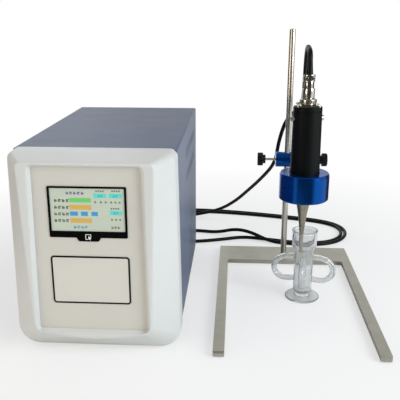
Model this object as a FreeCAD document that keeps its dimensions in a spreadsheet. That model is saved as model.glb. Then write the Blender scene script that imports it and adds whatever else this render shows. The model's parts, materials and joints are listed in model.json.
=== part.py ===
import FreeCAD, Part
import math
import os
import Sketcher

# Bench-top ultrasonic homogenizer: generator console, rod stand with clamp and ring, transducer
# with its horn, glass circulation cell and the cable between transducer and console.
# Millimetres, +Z up, front towards -Y. The origin lies on the table under the middle of the set.

Vector = FreeCAD.Vector

SIZES = {
    # Cover, tray and rear panel of the console
    "cover_width": 248, "cover_depth": 420, "cover_top": 316, "foot_height": 8, "foot_radius": 11,
    "foot_inset": 30, "sheet": 1.5, "seat_gap": 0.2, "tray_lip": 24, "tray_setback": 3,
    "vent_rows_z": 230, "vent_row_step": 44, "vent_height": 18, "vent_width": 3,
    "vent_pitch": 8.5, "vent_start": 160, "vent_count": 24,
    "cover_screw_z": 20, "cover_screw_first": 45, "cover_screw_step": 165, "screw_head": 3.6,
    "screw_head_height": 1.8, "screw_shank": 1.8, "screw_length": 7,
    # Moulded bezel
    "bezel_top_half": 125, "bezel_base_half": 131, "bezel_top": 318, "bezel_bottom": 2,
    "bezel_depth": 70, "bezel_straight": 28, "bezel_round": 6, "bezel_wall": 4,
    "face_top_half": 100, "face_base_half": 91, "face_top": 312, "face_bottom": 38,
    "top_corner": 12, "base_corner": 34, "face_corner": 10, "recess": 8, "recess_draft": 5,
    # Front panel and what it carries
    "panel_half": 82, "panel_top_half": 78, "panel_bottom": 50, "panel_top": 302,
    "panel_sheet": 3, "panel_margin": 3, "panel_corner": 3,
    "lit_width": 108, "lit_height": 64.8, "lit_centre_z": 239.6, "glass_side": 3.3,
    "glass_top": 2.8, "glass_chin": 9.7, "glass_proud": 1.2, "glass_corner": 2,
    "tab_half": 19.5, "tab_tip_half": 14.3, "tab_drop": 5.7, "display_rim": 1.5,
    "display_depth": 8, "board_sheet": 1.6, "display_board_gap": 6,
    "plate_half": 58.8, "plate_bottom": 92, "plate_height": 76.3, "plate_line": 2.6,
    "plate_proud": 0.9, "plate_corner": 5,
    # Rear panel fittings
    "fan_x": 58, "fan_z": 222, "fan_size": 80, "fan_depth": 25, "fan_bore": 38, "fan_hub": 17,
    "fan_screw_pitch": 71.5, "fan_screw_length": 12,
    "blade_count": 7, "blade_sheet": 2, "guard_wire": 1.2,
    "socket_x": -50, "socket_z": 112, "socket_flange": 30, "socket_barrel": 10.5,
    "socket_out": 12, "rear_plug_radius": 10, "rear_plug_length": 34, "rear_ring_radius": 13,
    "rear_ring_length": 13, "rear_boot_length": 18, "rear_boot_radius": 6.5,
    "inlet_x": 62, "inlet_z": 52, "inlet_width": 27.5, "inlet_height": 20, "inlet_depth": 24,
    "inlet_flange": 3, "inlet_wall": 1.6, "inlet_ear": 11, "pin_width": 4, "pin_sheet": 2,
    "pin_spread": 7, "pin_length": 15,
    "switch_z": 96, "switch_width": 28, "switch_height": 22, "switch_depth": 18,
    "rocker_tilt": 12, "pivot_radius": 1.5,
    # Inside the console
    "board_width": 190, "board_depth": 250, "board_y": 40, "board_z": 22, "board_inset": 8,
    "standoff_radius": 3.5, "core_x": -20, "sink_x": 20, "sink_lead": 20,
    "core_width": 70, "core_height": 62, "core_depth": 44, "core_y": 300, "coil_radius": 24,
    "capacitor_radius": 15, "capacitor_height": 50, "capacitor_inset": 28, "capacitor_lead": 35,
    "sink_width": 60, "sink_depth": 110,
    "sink_height": 46, "sink_base": 6, "sink_fin": 2, "sink_fins": 8,
    # Rod stand
    "rod_gap": 318, "rod_setback": 361, "base_width": 275, "leg_width": 18, "leg_reach": 413,
    "beam_front": 38, "beam_back": 39, "base_top": 10, "pad_height": 1.5, "pad_radius": 7,
    "base_corner_radius": 3, "leg_bevel": 3, "rod_radius": 6, "rod_top": 481, "rod_seat": 5,
    "rod_screw_head": 7.5, "rod_screw_radius": 4, "rod_screw_length": 24, "slide_gap": 0.05,
    # Clamp block and thumbscrews
    "clamp_z": 220, "block_radius": 15.5, "block_left": 24, "arm_offset": 15.2, "block_right": 28.8,
    "block_chamfer": 1, "groove_depth": 0.8, "groove_width": 1.2, "groove_drop": 3.5,
    "stud_radius": 2.5, "stud_free": 21, "knob_hub_radius": 9, "knob_hub": 5, "knob_radius": 13.5,
    "knob_length": 11.5, "knob_lobes": 6, "knob_scallop": 6, "knob_bite": 1.8,
    # Arm and ring
    "axis_setback": 189, "arm_radius": 5, "arm_tail": 16, "arm_seat": 12, "ring_radius": 43.8,
    "ring_bottom": 192.5, "ring_height": 48.5, "ring_chamfer": 2, "ring_step": 1.2,
    "shoulder_z": 204, "shoulder_radius": 20, "bore_gap": 0.15, "set_screw_radius": 2,
    # Transducer
    "housing_radius": 26, "housing_top_radius": 24.9, "housing_wall": 2.5, "cap_bottom": 349,
    "cap_top": 357.5, "cap_spigot": 6, "flange_sheet": 8, "side_screw_z": 337,
    "side_screw_head": 5, "side_screw_height": 4.5, "side_screw_angle": 195,
    "horn_body_radius": 19, "horn_body_top": 236,
    "horn_slim_z": 124, "horn_stem_z": 104, "horn_wide_z": 177, "horn_wide_radius": 10.6,
    "horn_neck": 8,
    "tip_z": 90, "tip_radius": 3.1, "piezo_sheet": 6, "piezo_bore": 8, "electrode_sheet": 0.5,
    "back_mass_height": 32, "bolt_radius": 5, "bolt_head_radius": 9,
    "bolt_head": 8,
    "plate_size": 40, "plate_sheet": 3, "plate_screw_pitch": 31, "plate_screw_head": 3,
    "receptacle_radius": 10.5, "ring_nut_radius": 14.2, "ring_nut_height": 9.5,
    "barrel_radius": 10.4, "barrel_top": 388, "keyway_width": 3, "keyway_depth": 2,
    "gland_radius": 8.6, "gland_top": 399, "saddle_radius": 10, "saddle_top": 411,
    "saddle_split": 1.2, "saddle_screw": 2.8, "boot_radius": 7.1, "boot_straight": 22,
    "boot_tip_radius": 4.9, "boot_bend": 18, "boot_turn": 75,
    # Glass cell and cable
    "glass_wall": 2, "rim_radius": 22.3, "rim_z": 132.5, "rim_bead": 1, "shoulder_high": 103,
    "shoulder_low": 89, "waist_radius": 17.6, "lower_radius": 17, "lower_z": 16.5,
    "foot_disc_radius": 31.5, "foot_disc": 4, "stem_radius": 13, "stem_height": 2,
    "cell_offset": 6.5, "loop_high": 82, "loop_low": 36, "loop_reach": 62, "loop_tip_z": 60,
    "loop_radius": 5.2, "loop_turn": -18, "loop_spread": 110,
    "cable_radius": 4, "cable_hump": 20,
}


class Size:
    """A length of the sheet, or one worked out from such lengths, with its formula."""

    def __init__(self, value, formula):
        self.value = value
        self.formula = formula

    def __add__(self, other):
        return Size(self.value + number(other), f"({self.formula} + {formula(other)})")

    def __radd__(self, other):
        return Size(number(other) + self.value, f"({formula(other)} + {self.formula})")

    def __sub__(self, other):
        return Size(self.value - number(other), f"({self.formula} - {formula(other)})")

    def __rsub__(self, other):
        return Size(number(other) - self.value, f"({formula(other)} - {self.formula})")

    def __mul__(self, other):
        return Size(self.value * number(other), f"({self.formula} * {formula(other)})")

    def __rmul__(self, other):
        return self * other

    def __truediv__(self, other):
        return Size(self.value / number(other), f"({self.formula} / {formula(other)})")

    def __neg__(self):
        return Size(-self.value, f"(0 - {self.formula})")


def number(value):
    """The plain number of a size or of a number."""
    return value.value if isinstance(value, Size) else float(value)


def formula(value):
    """The formula of a size, or a number as text."""
    return value.formula if isinstance(value, Size) else repr(float(value))


class Sheet:
    """The driving dimensions, read as attributes."""

    def __init__(self, table):
        for name, value in table.items():
            setattr(self, name, Size(float(value), f"Sizes.{name}"))


doc = FreeCAD.newDocument("UltrasonicHomogenizer")
sheet = doc.addObject("Spreadsheet::Sheet", "Sizes")
for row, (alias, amount) in enumerate(SIZES.items(), start=1):
    sheet.set(f"A{row}", alias)
    sheet.set(f"B{row}", str(amount))
    sheet.setAlias(f"B{row}", alias)
doc.recompute()
d = Sheet(SIZES)

# Places of the four groups on the table, so that the set's box is centred on the origin
bezel_taper = (d.bezel_base_half - d.bezel_top_half) / (d.bezel_top - d.bezel_bottom)
bezel_reach = d.bezel_base_half - bezel_taper * d.base_corner
console_x = (bezel_reach - d.base_width / 2 - d.rod_gap) / 2
console_y = -(d.cover_depth + d.socket_out - d.bezel_depth) / 2
rod_x = console_x + d.rod_gap
rod_y = console_y + d.rod_setback
axis_x = rod_x + d.arm_offset
axis_y = rod_y - d.axis_setback
cell_x = axis_x + d.cell_offset

nodes = []


# Small tools for sketches, bodies and primitives

def bind(thing, path, size):
    """Set one property of an object from a size, with its formula."""
    if isinstance(size, Size):
        thing.setExpression(path, size.formula)
    else:
        thing.setExpression(path, repr(float(size)))


def place(thing, x, y, z, turn=None):
    """Put an object at a place, with a fixed rotation where one is given."""
    if turn is not None:
        thing.Placement = FreeCAD.Placement(Vector(), turn)
    bind(thing, "Placement.Base.x", x)
    bind(thing, "Placement.Base.y", y)
    bind(thing, "Placement.Base.z", z)
    return thing


def node(thing, label):
    """Name an object as one of the model's nodes."""
    thing.Label = label
    nodes.append(thing)
    return thing


TURNS = {
    "z": FreeCAD.Rotation(),
    "x": FreeCAD.Rotation(Vector(0, 1, 0), 90),
    "y": FreeCAD.Rotation(Vector(1, 0, 0), -90),
}


def box(x, y, z, width, depth, height):
    """A box from its low corner and its three lengths."""
    thing = doc.addObject("Part::Box", "Block")
    bind(thing, "Length", width)
    bind(thing, "Width", depth)
    bind(thing, "Height", height)
    return place(thing, x, y, z)


def rod(x, y, z, radius, length, axis="z"):
    """A cylinder from the middle of its low end, along one axis."""
    thing = doc.addObject("Part::Cylinder", "Round")
    bind(thing, "Radius", radius)
    bind(thing, "Height", length)
    return place(thing, x, y, z, TURNS[axis])


def cone(x, y, z, low, high, length, axis="z"):
    """A cone from the middle of its low end, along one axis."""
    thing = doc.addObject("Part::Cone", "Taper")
    bind(thing, "Radius1", low)
    bind(thing, "Radius2", high)
    bind(thing, "Height", length)
    return place(thing, x, y, z, TURNS[axis])


def fuse(*things):
    """Several objects joined into one."""
    thing = doc.addObject("Part::MultiFuse", "Joined")
    thing.Shapes = list(things)
    return thing


def cut(base, *tools):
    """One object with others taken away from it."""
    thing = doc.addObject("Part::Cut", "Opened")
    thing.Base = base
    thing.Tool = tools[0] if len(tools) == 1 else fuse(*tools)
    return thing


def group(*things):
    """Separate solids kept as one node."""
    thing = doc.addObject("Part::Compound", "Set")
    thing.Links = list(things)
    return thing


def new_body(x, y, z):
    """An empty body at a place."""
    thing = doc.addObject("PartDesign::Body", "Solid")
    return place(thing, x, y, z)


def new_sketch(body, plane="XY_Plane", offset=None):
    """A sketch on one of the body's own planes, or parallel to it."""
    sketch = body.newObject("Sketcher::SketchObject", "Outline")
    support = [item for item in body.Origin.OriginFeatures if item.Role == plane][0]
    sketch.AttachmentSupport = [(support, "")]
    sketch.MapMode = "FlatFace"
    if offset is not None:
        bind(sketch, "AttachmentOffset.Base.z", offset)
    return sketch


def tie(sketch, constraint, size=None):
    """Add a constraint, bound to a size where it has one."""
    index = sketch.addConstraint(constraint)
    if isinstance(size, Size):
        sketch.setExpression(f"Constraints[{index}]", size.formula)


def pin(sketch, item, end, x, y):
    """Hold a point of the sketch at a place."""
    tie(sketch, Sketcher.Constraint("DistanceX", -1, 1, item, end, number(x)), x)
    tie(sketch, Sketcher.Constraint("DistanceY", -1, 1, item, end, number(y)), y)


def polygon(sketch, points):
    """A closed outline of straight lines."""
    first = sketch.GeometryCount
    count = len(points)
    corners = [Vector(number(x), number(y), 0) for x, y in points]
    for index in range(count):
        sketch.addGeometry(Part.LineSegment(corners[index], corners[(index + 1) % count]))
    for index in range(count):
        follower = first + (index + 1) % count
        tie(sketch, Sketcher.Constraint("Coincident", first + index, 2, follower, 1))
        pin(sketch, first + index, 1, *points[index])


def circle(sketch, x, y, radius):
    """A circle about a place."""
    centre = Vector(number(x), number(y), 0)
    item = sketch.addGeometry(Part.Circle(centre, Vector(0, 0, 1), number(radius)))
    pin(sketch, item, 3, x, y)
    tie(sketch, Sketcher.Constraint("Radius", item, number(radius)), radius)


def rounded(sketch, points, radii):
    """A closed outline whose corners are tangent arcs, points given anticlockwise."""
    count = len(points)
    corners = [Vector(number(x), number(y), 0) for x, y in points]
    starts, ends, centres = [], [], []
    for index, corner in enumerate(corners):
        back = (corners[index - 1] - corner).normalize()
        ahead = (corners[(index + 1) % count] - corner).normalize()
        half = back.getAngle(ahead) / 2
        radius = number(radii[index])
        starts.append(corner + back * (radius / math.tan(half)))
        ends.append(corner + ahead * (radius / math.tan(half)))
        middle = (back + ahead).normalize()
        centres.append(corner + middle * (radius / math.sin(half)))
    lines, arcs, marks = [], [], []
    for index in range(count):
        arm = starts[index] - centres[index]
        leg = ends[index] - centres[index]
        low = math.atan2(arm.y, arm.x)
        high = math.atan2(leg.y, leg.x)
        ring = Part.Circle(centres[index], Vector(0, 0, 1), number(radii[index]))
        arcs.append(sketch.addGeometry(Part.ArcOfCircle(ring, low, high)))
        line = Part.LineSegment(ends[index], starts[(index + 1) % count])
        lines.append(sketch.addGeometry(line))
    for index in range(count):
        marks.append(sketch.addGeometry(Part.Point(corners[index]), True))
        pin(sketch, marks[index], 1, *points[index])
        tie(sketch, Sketcher.Constraint("Radius", arcs[index], number(radii[index])), radii[index])
    for index in range(count):
        after = (index + 1) % count
        tie(sketch, Sketcher.Constraint("Tangent", arcs[index], 2, lines[index], 1))
        tie(sketch, Sketcher.Constraint("Tangent", lines[index], 2, arcs[after], 1))
        tie(sketch, Sketcher.Constraint("PointOnObject", marks[index], 1, lines[index]))
        tie(sketch, Sketcher.Constraint("PointOnObject", marks[after], 1, lines[index]))


def oblong(sketch, low_x, low_y, high_x, high_y, radius):
    """A rectangle with round corners."""
    points = [(low_x, low_y), (high_x, low_y), (high_x, high_y), (low_x, high_y)]
    rounded(sketch, points, [radius] * 4)


def feature(body, kind, sketch, **links):
    """A feature made from a sketch."""
    thing = body.newObject(f"PartDesign::{kind}", kind)
    thing.Profile = sketch
    for name, value in links.items():
        setattr(thing, name, value)
    return thing


def pad(body, sketch, length, back=False):
    """Raise a sketch by a length."""
    thing = feature(body, "Pad", sketch, Reversed=back)
    bind(thing, "Length", length)
    return thing


def pocket(body, sketch, length, back=False):
    """Sink a sketch by a length, against the sketch's normal unless back is set."""
    thing = feature(body, "Pocket", sketch, Reversed=back)
    bind(thing, "Length", length)
    return thing


def revolve(body, sketch, axis="V_Axis"):
    """Turn a sketch once round one of its axes."""
    return feature(body, "Revolution", sketch, ReferenceAxis=(sketch, [axis]), Angle=360)


def spread(body, first, sketch, axis, length, count):
    """Repeat a feature along one of its sketch's axes."""
    row = body.newObject("PartDesign::LinearPattern", "Row")
    row.Originals = [first]
    row.Direction = (sketch, [axis])
    bind(row, "Length", length)
    bind(row, "Occurrences", count)
    body.Tip = row
    return row


def ring_of(body, first, sketch, count):
    """Repeat a feature round its sketch's own normal."""
    wheel = body.newObject("PartDesign::PolarPattern", "Wheel")
    wheel.Originals = [first]
    wheel.Axis = (sketch, ["N_Axis"])
    wheel.Angle = 360
    bind(wheel, "Occurrences", count)
    body.Tip = wheel
    return wheel


def edges_where(body, test):
    """Names of the edges of the body's last feature that pass a test."""
    doc.recompute()
    return [f"Edge{index}" for index, edge in enumerate(body.Tip.Shape.Edges, start=1)
            if test(edge)]


def soften(body, kind, names, size):
    """Round or bevel named edges of a body's last feature."""
    thing = body.newObject(f"PartDesign::{kind}", kind)
    thing.Base = (body.Group[-2], names)
    bind(thing, "Radius" if kind == "Fillet" else "Size", size)
    return thing


# Console housing

def bezel_section(body, setback, inset, face_share):
    """One outline of the bezel, from the cover's edge (share 0) to the front face (share 1)."""
    sketch = new_sketch(body, "XZ_Plane", setback)
    share = 1 - face_share
    top = d.bezel_top_half * share + d.face_top_half * face_share - inset
    base = d.bezel_base_half * share + d.face_base_half * face_share - inset
    high = d.bezel_top * share + d.face_top * face_share - inset
    low = d.bezel_bottom * share + d.face_bottom * face_share + inset
    corners = [(-base, low), (base, low), (top, high), (-top, high)]
    foot = d.base_corner * share + d.face_corner * face_share - inset / 2
    head = d.top_corner * share + d.face_corner * face_share - inset / 2
    rounded(sketch, corners, [foot, foot, head, head])
    return sketch


def mouth_section(body, setback, flare, corner):
    """One outline of the mouth round the panel, narrower at its top."""
    sketch = new_sketch(body, "XZ_Plane", setback)
    low, high = d.panel_bottom - flare, d.panel_top + flare
    base, top = d.panel_half + flare, d.panel_top_half + flare
    rounded(sketch, [(-base, low), (base, low), (top, high), (-top, high)], [corner] * 4)
    return sketch


def make_front_bezel():
    """Deep moulded frame: wide at its foot, tapered to a front face that narrows downwards."""
    body = new_body(console_x, console_y, 0)
    outline = bezel_section(body, Size(0, "0"), 0, 0)
    straight = bezel_section(body, d.bezel_straight, 0.8, 0)
    shoulder = bezel_section(body, d.bezel_depth - d.bezel_round, 0, 0.82)
    face = bezel_section(body, d.bezel_depth, 1, 1)
    shell = body.newObject("PartDesign::AdditiveLoft", "Shell")
    shell.Profile = outline
    shell.Sections = [straight, shoulder, face]
    shell.Ruled = True
    wall = d.bezel_wall
    back = bezel_section(body, Size(0, "0"), wall, 0)
    inner = bezel_section(body, d.bezel_straight - wall, wall, 0)
    seat = bezel_section(body, d.bezel_depth - d.recess, wall, 0.9)
    hollow = body.newObject("PartDesign::SubtractiveLoft", "Hollow")
    hollow.Profile = back
    hollow.Sections = [inner, seat]
    hollow.Ruled = True
    narrow = mouth_section(body, d.bezel_depth - d.recess - 1, 0, d.panel_corner)
    wide = mouth_section(body, d.bezel_depth + 1, d.recess_draft, d.panel_corner + 3)
    mouth = body.newObject("PartDesign::SubtractiveLoft", "Mouth")
    mouth.Profile = narrow
    mouth.Sections = [wide]
    mouth.Ruled = True
    return node(body, "front_bezel")


panel_y = console_y - d.bezel_depth + d.recess
lit_low = d.lit_centre_z - d.lit_height / 2
lit_high = d.lit_centre_z + d.lit_height / 2


def make_front_panel():
    """Recessed plate behind the bezel's mouth, with the display's window."""
    body = new_body(console_x, panel_y + d.panel_sheet, 0)
    outline = new_sketch(body, "XZ_Plane")
    edge = d.panel_margin
    oblong(outline, -d.panel_half - edge, d.panel_bottom - edge, d.panel_half + edge,
           d.panel_top + edge, d.panel_corner)
    pad(body, outline, d.panel_sheet)
    window = new_sketch(body, "XZ_Plane")
    rim = d.display_rim + d.seat_gap
    half = d.lit_width / 2 + rim
    polygon(window, [(-half, lit_low - rim), (half, lit_low - rim), (half, lit_high + rim),
                     (-half, lit_high + rim)])
    pocket(body, window, d.panel_sheet * 2, back=True)
    return node(body, "front_panel")


def make_touchscreen_frame():
    """Black glass frame with its chin and the tab below it, open over the lit area."""
    body = new_body(console_x, panel_y, 0)
    outline = new_sketch(body, "XZ_Plane")
    half = d.lit_width / 2 + d.glass_side
    low = lit_low - d.glass_chin
    oblong(outline, -half, low, half, lit_high + d.glass_top, d.glass_corner)
    pad(body, outline, d.glass_proud)
    tab = new_sketch(body, "XZ_Plane")
    rounded(tab, [(-d.tab_tip_half, low - d.tab_drop), (d.tab_tip_half, low - d.tab_drop),
                  (d.tab_half, low + 2), (-d.tab_half, low + 2)], [2.5, 2.5, 0.5, 0.5])
    pad(body, tab, d.glass_proud)
    window = new_sketch(body, "XZ_Plane")
    oblong(window, -d.lit_width / 2, lit_low, d.lit_width / 2, lit_high, 0.5)
    pocket(body, window, d.glass_proud * 2, back=True)
    return node(body, "touchscreen_frame")


def make_touchscreen_display():
    """Display module whose face lies against the back of the glass frame."""
    rim = d.display_rim
    block = box(console_x - d.lit_width / 2 - rim, panel_y, lit_low - rim, d.lit_width + rim * 2,
                d.display_depth, d.lit_height + rim * 2)
    return node(block, "touchscreen_display")


display_back = panel_y + d.display_depth


def make_display_board():
    """Control board behind the display, held off it by four moulded spacers."""
    half = d.lit_width / 2 - 4
    plate = box(console_x - half, display_back + d.display_board_gap, lit_low + 2, half * 2,
                d.board_sheet, d.lit_height - 4)
    spacers = []
    for side in (-1, 1):
        for height in (lit_low + 8, lit_high - 8):
            spacers.append(rod(console_x + side * (half - 6), display_back, height,
                               d.standoff_radius, d.display_board_gap, "y"))
    return node(fuse(plate, *spacers), "display_board")


plate_top = d.plate_bottom + d.plate_height


def make_blank_plate_outline():
    """Black line round the blank plate."""
    body = new_body(console_x, panel_y, 0)
    outline = new_sketch(body, "XZ_Plane")
    half, line = d.plate_half, d.plate_line
    oblong(outline, -half, d.plate_bottom, half, plate_top, d.plate_corner)
    pad(body, outline, d.plate_proud)
    inside = new_sketch(body, "XZ_Plane")
    oblong(inside, -half + line, d.plate_bottom + line, half - line, plate_top - line,
           d.plate_corner - line)
    pocket(body, inside, d.plate_proud * 2, back=True)
    return node(body, "blank_plate_outline")


def make_blank_plate():
    """Plain plate inside the black line."""
    body = new_body(console_x, panel_y, 0)
    outline = new_sketch(body, "XZ_Plane")
    half, line = d.plate_half, d.plate_line
    oblong(outline, -half + line, d.plate_bottom + line, half - line, plate_top - line,
           d.plate_corner - line)
    pad(body, outline, d.plate_proud * 0.7)
    return node(body, "blank_plate")


def make_cover_shell():
    """Folded cover: top and two sides, each side with two rows of vent slots."""
    body = new_body(console_x, console_y, 0)
    fold = new_sketch(body, "XZ_Plane")
    half, low, high, wall = d.cover_width / 2, d.foot_height, d.cover_top, d.sheet
    polygon(fold, [(-half, low), (-half + wall, low), (-half + wall, high - wall),
                   (half - wall, high - wall), (half - wall, low), (half, low), (half, high),
                   (-half, high)])
    pad(body, fold, d.cover_depth, back=True)
    corners = edges_where(body, lambda edge: edge.Length > d.cover_depth.value - 1
                          and edge.BoundBox.ZMin > d.cover_top.value - 0.01)
    soften(body, "Fillet", corners, d.sheet * 1.6)
    holes = new_sketch(body, "YZ_Plane", -half - 1)
    for index in range(3):
        circle(holes, d.cover_screw_first + d.cover_screw_step * index, d.cover_screw_z,
               d.screw_shank)
    pocket(body, holes, d.cover_width + 2, back=True)
    for row in (0, 1):
        slot = new_sketch(body, "YZ_Plane", -half - 1)
        base = d.vent_rows_z - d.vent_height / 2 + d.vent_row_step * row
        oblong(slot, d.vent_start, base, d.vent_start + d.vent_width, base + d.vent_height,
               d.vent_width / 2 - 0.05)
        first = pocket(body, slot, d.cover_width + 2, back=True)
        spread(body, first, slot, "H_Axis", d.vent_pitch * (d.vent_count - 1), d.vent_count)
    return node(body, "cover_shell")


def make_chassis_tray():
    """Bottom tray with a lip up each side and a rim at front and back."""
    body = new_body(console_x, console_y, 0)
    half = d.cover_width / 2 - d.sheet - d.seat_gap
    low, wall = d.foot_height, d.sheet
    fold = new_sketch(body, "XZ_Plane", -d.tray_setback)
    polygon(fold, [(-half, low), (half, low), (half, low + d.tray_lip),
                   (half - wall, low + d.tray_lip), (half - wall, low + wall),
                   (-half + wall, low + wall), (-half + wall, low + d.tray_lip),
                   (-half, low + d.tray_lip)])
    pad(body, fold, d.cover_depth - d.tray_setback - d.sheet, back=True)
    holes = new_sketch(body, "YZ_Plane", -half - 1)
    for index in range(3):
        circle(holes, d.cover_screw_first + d.cover_screw_step * index, d.cover_screw_z,
               d.screw_shank)
    pocket(body, holes, half * 2 + 2, back=True)
    return node(body, "chassis_tray")


def make_rear_panel():
    """Rear plate with openings for the fan, the inlet, the switch and the output socket."""
    body = new_body(console_x, console_y + d.cover_depth, 0)
    half = d.cover_width / 2 - d.sheet - d.seat_gap
    plate = new_sketch(body, "XZ_Plane")
    polygon(plate, [(-half, d.foot_height), (half, d.foot_height),
                    (half, d.cover_top - d.sheet - d.seat_gap),
                    (-half, d.cover_top - d.sheet - d.seat_gap)])
    pad(body, plate, d.sheet)
    holes = new_sketch(body, "XZ_Plane")
    circle(holes, d.fan_x, d.fan_z, d.fan_bore)
    circle(holes, d.socket_x, d.socket_z, d.socket_barrel + d.seat_gap)
    for side in (-1, 1):
        for height in (-1, 1):
            circle(holes, d.fan_x + side * d.fan_screw_pitch / 2,
                   d.fan_z + height * d.fan_screw_pitch / 2, d.screw_shank)
    gap = d.seat_gap
    for width, height, centre in ((d.inlet_width, d.inlet_height, d.inlet_z),
                                  (d.switch_width, d.switch_height, d.switch_z)):
        oblong(holes, d.inlet_x - width / 2 - gap, centre - height / 2 - gap,
               d.inlet_x + width / 2 + gap, centre + height / 2 + gap, 0.5)
    pocket(body, holes, d.sheet * 2, back=True)
    return node(body, "rear_panel")


def make_rubber_feet():
    """Four feet under the tray, tapered and dished at the screw."""
    feet = []
    for side in (-1, 1):
        for depth in (d.foot_inset, d.cover_depth - d.foot_inset):
            x = console_x + side * (d.cover_width / 2 - d.foot_inset * 0.8)
            body = new_body(x, console_y + depth, 0)
            profile = new_sketch(body, "XZ_Plane")
            polygon(profile, [(0, 2), (d.foot_radius * 0.4, 2), (d.foot_radius * 0.5, 0),
                              (d.foot_radius * 0.85, 0), (d.foot_radius, d.foot_height),
                              (0, d.foot_height)])
            revolve(body, profile)
            feet.append(body)
    return node(group(*feet), "rubber_feet")


def make_cover_screws():
    """Pan-head screws that hold the cover's sides to the tray's lips."""
    screws = []
    for side in (-1, 1):
        for index in range(3):
            y = console_y + d.cover_screw_first + d.cover_screw_step * index
            face = console_x + side * d.cover_width / 2
            head = cone(face, y, d.cover_screw_z, d.screw_head, d.screw_head * 0.7,
                        d.screw_head_height, "x")
            shank_start = face - d.screw_length
            if side < 0:
                head = cone(face - d.screw_head_height, y, d.cover_screw_z, d.screw_head * 0.7,
                            d.screw_head, d.screw_head_height, "x")
                shank_start = face
            shank = rod(shank_start, y, d.cover_screw_z, d.screw_shank, d.screw_length, "x")
            screws.append(fuse(head, shank))
    return node(group(*screws), "cover_screws")


# Rear panel fittings

rear_y = console_y + d.cover_depth
fan_front = rear_y - d.sheet - d.fan_depth


def make_fan_frame():
    """Square fan frame with its round duct, three struts and the motor's cup."""
    body = new_body(console_x + d.fan_x, rear_y - d.sheet, d.fan_z)
    half = d.fan_size / 2
    outline = new_sketch(body, "XZ_Plane")
    oblong(outline, -half, -half, half, half, 4)
    pad(body, outline, d.fan_depth)
    duct = new_sketch(body, "XZ_Plane")
    circle(duct, 0, 0, d.fan_bore)
    pocket(body, duct, d.fan_depth * 2, back=True)
    holes = new_sketch(body, "XZ_Plane")
    for side in (-1, 1):
        for height in (-1, 1):
            circle(holes, side * d.fan_screw_pitch / 2, height * d.fan_screw_pitch / 2,
                   d.screw_shank + d.seat_gap)
    pocket(body, holes, d.fan_depth * 2, back=True)
    doc.recompute()
    fan_x, depth = console_x + d.fan_x, d.fan_depth
    struts = []
    for side in (-1, 1):
        low = fan_x - d.fan_bore - 0.5 if side < 0 else fan_x
        struts.append(box(low, fan_front, d.fan_z - 2, d.fan_bore + 0.5, 3, 4))
    struts.append(box(fan_x - 2, fan_front, d.fan_z - d.fan_bore - 0.5, 4, 3, d.fan_bore + 0.5))
    cup = rod(fan_x, fan_front, d.fan_z, d.fan_hub, 3, "y")
    spindle = rod(fan_x, fan_front + 3, d.fan_z, 2, depth - 8, "y")
    return node(fuse(body, cup, spindle, *struts), "fan_frame")


def make_fan_rotor():
    """Hub with pitched blades, running on the frame's spindle."""
    y = fan_front + 3.3
    length = d.fan_depth - 3.3 - 2
    fan_x = console_x + d.fan_x
    hub = cut(rod(fan_x, y, d.fan_z, d.fan_hub, length, "y"),
              rod(fan_x, y - 1, d.fan_z, 2 + d.slide_gap, length - 2, "y"))
    blades = []
    reach = d.fan_bore - 1 - d.fan_hub + 1
    for index in range(SIZES["blade_count"]):
        blade = doc.addObject("Part::Box", "Blade")
        bind(blade, "Length", reach)
        bind(blade, "Width", length * 0.95)
        bind(blade, "Height", d.blade_sheet)
        tilt = FreeCAD.Rotation(Vector(1, 0, 0), 35)
        spin = FreeCAD.Rotation(Vector(0, 1, 0), 360 / SIZES["blade_count"] * index)
        start = spin.multVec(Vector(number(d.fan_hub) - 1, 0, 0))
        lift = spin.multVec(tilt.multVec(Vector(0, -number(length) / 2, -1)))
        place(blade, fan_x + (start.x + lift.x), y + length / 2 + lift.y,
              d.fan_z + (start.z + lift.z), spin.multiply(tilt))
        blades.append(blade)
    band = cut(rod(fan_x, y, d.fan_z, d.fan_bore - 1, length, "y"),
               rod(fan_x, y - 1, d.fan_z, d.fan_hub - 1.5, length + 2, "y"))
    swept = doc.addObject("Part::MultiCommon", "BladesInDuct")
    swept.Shapes = [fuse(*blades), band]
    return node(fuse(hub, swept), "fan_rotor")


def make_fan_guard():
    """Finger guard of wire rings on four radial wires with screw eyes."""
    wire = d.guard_wire
    y = rear_y + wire
    x, z = console_x + d.fan_x, d.fan_z
    pieces = []
    for share in (0.25, 0.5, 0.75, 1):
        ring = doc.addObject("Part::Torus", "WireRing")
        bind(ring, "Radius1", d.fan_bore * share)
        bind(ring, "Radius2", wire * 0.8)
        pieces.append(place(ring, x, y, z, TURNS["y"]))
    reach = d.fan_screw_pitch / math.sqrt(2)
    for index in range(4):
        spoke = doc.addObject("Part::Cylinder", "Spoke")
        bind(spoke, "Radius", wire * 0.8)
        bind(spoke, "Height", reach)
        turn = FreeCAD.Rotation(Vector(0, 1, 0), 45 + 90 * index)
        pieces.append(place(spoke, x, y, z, turn))
    for side in (-1, 1):
        for height in (-1, 1):
            pieces.append(rod(x + side * d.fan_screw_pitch / 2, rear_y,
                              z + height * d.fan_screw_pitch / 2, d.screw_head,
                              wire * 1.8, "y"))
    holes = [rod(x + side * d.fan_screw_pitch / 2, rear_y - 1, z + height * d.fan_screw_pitch / 2,
                 d.screw_shank, 10, "y") for side in (-1, 1) for height in (-1, 1)]
    return node(cut(fuse(*pieces), *holes), "fan_guard")


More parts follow.
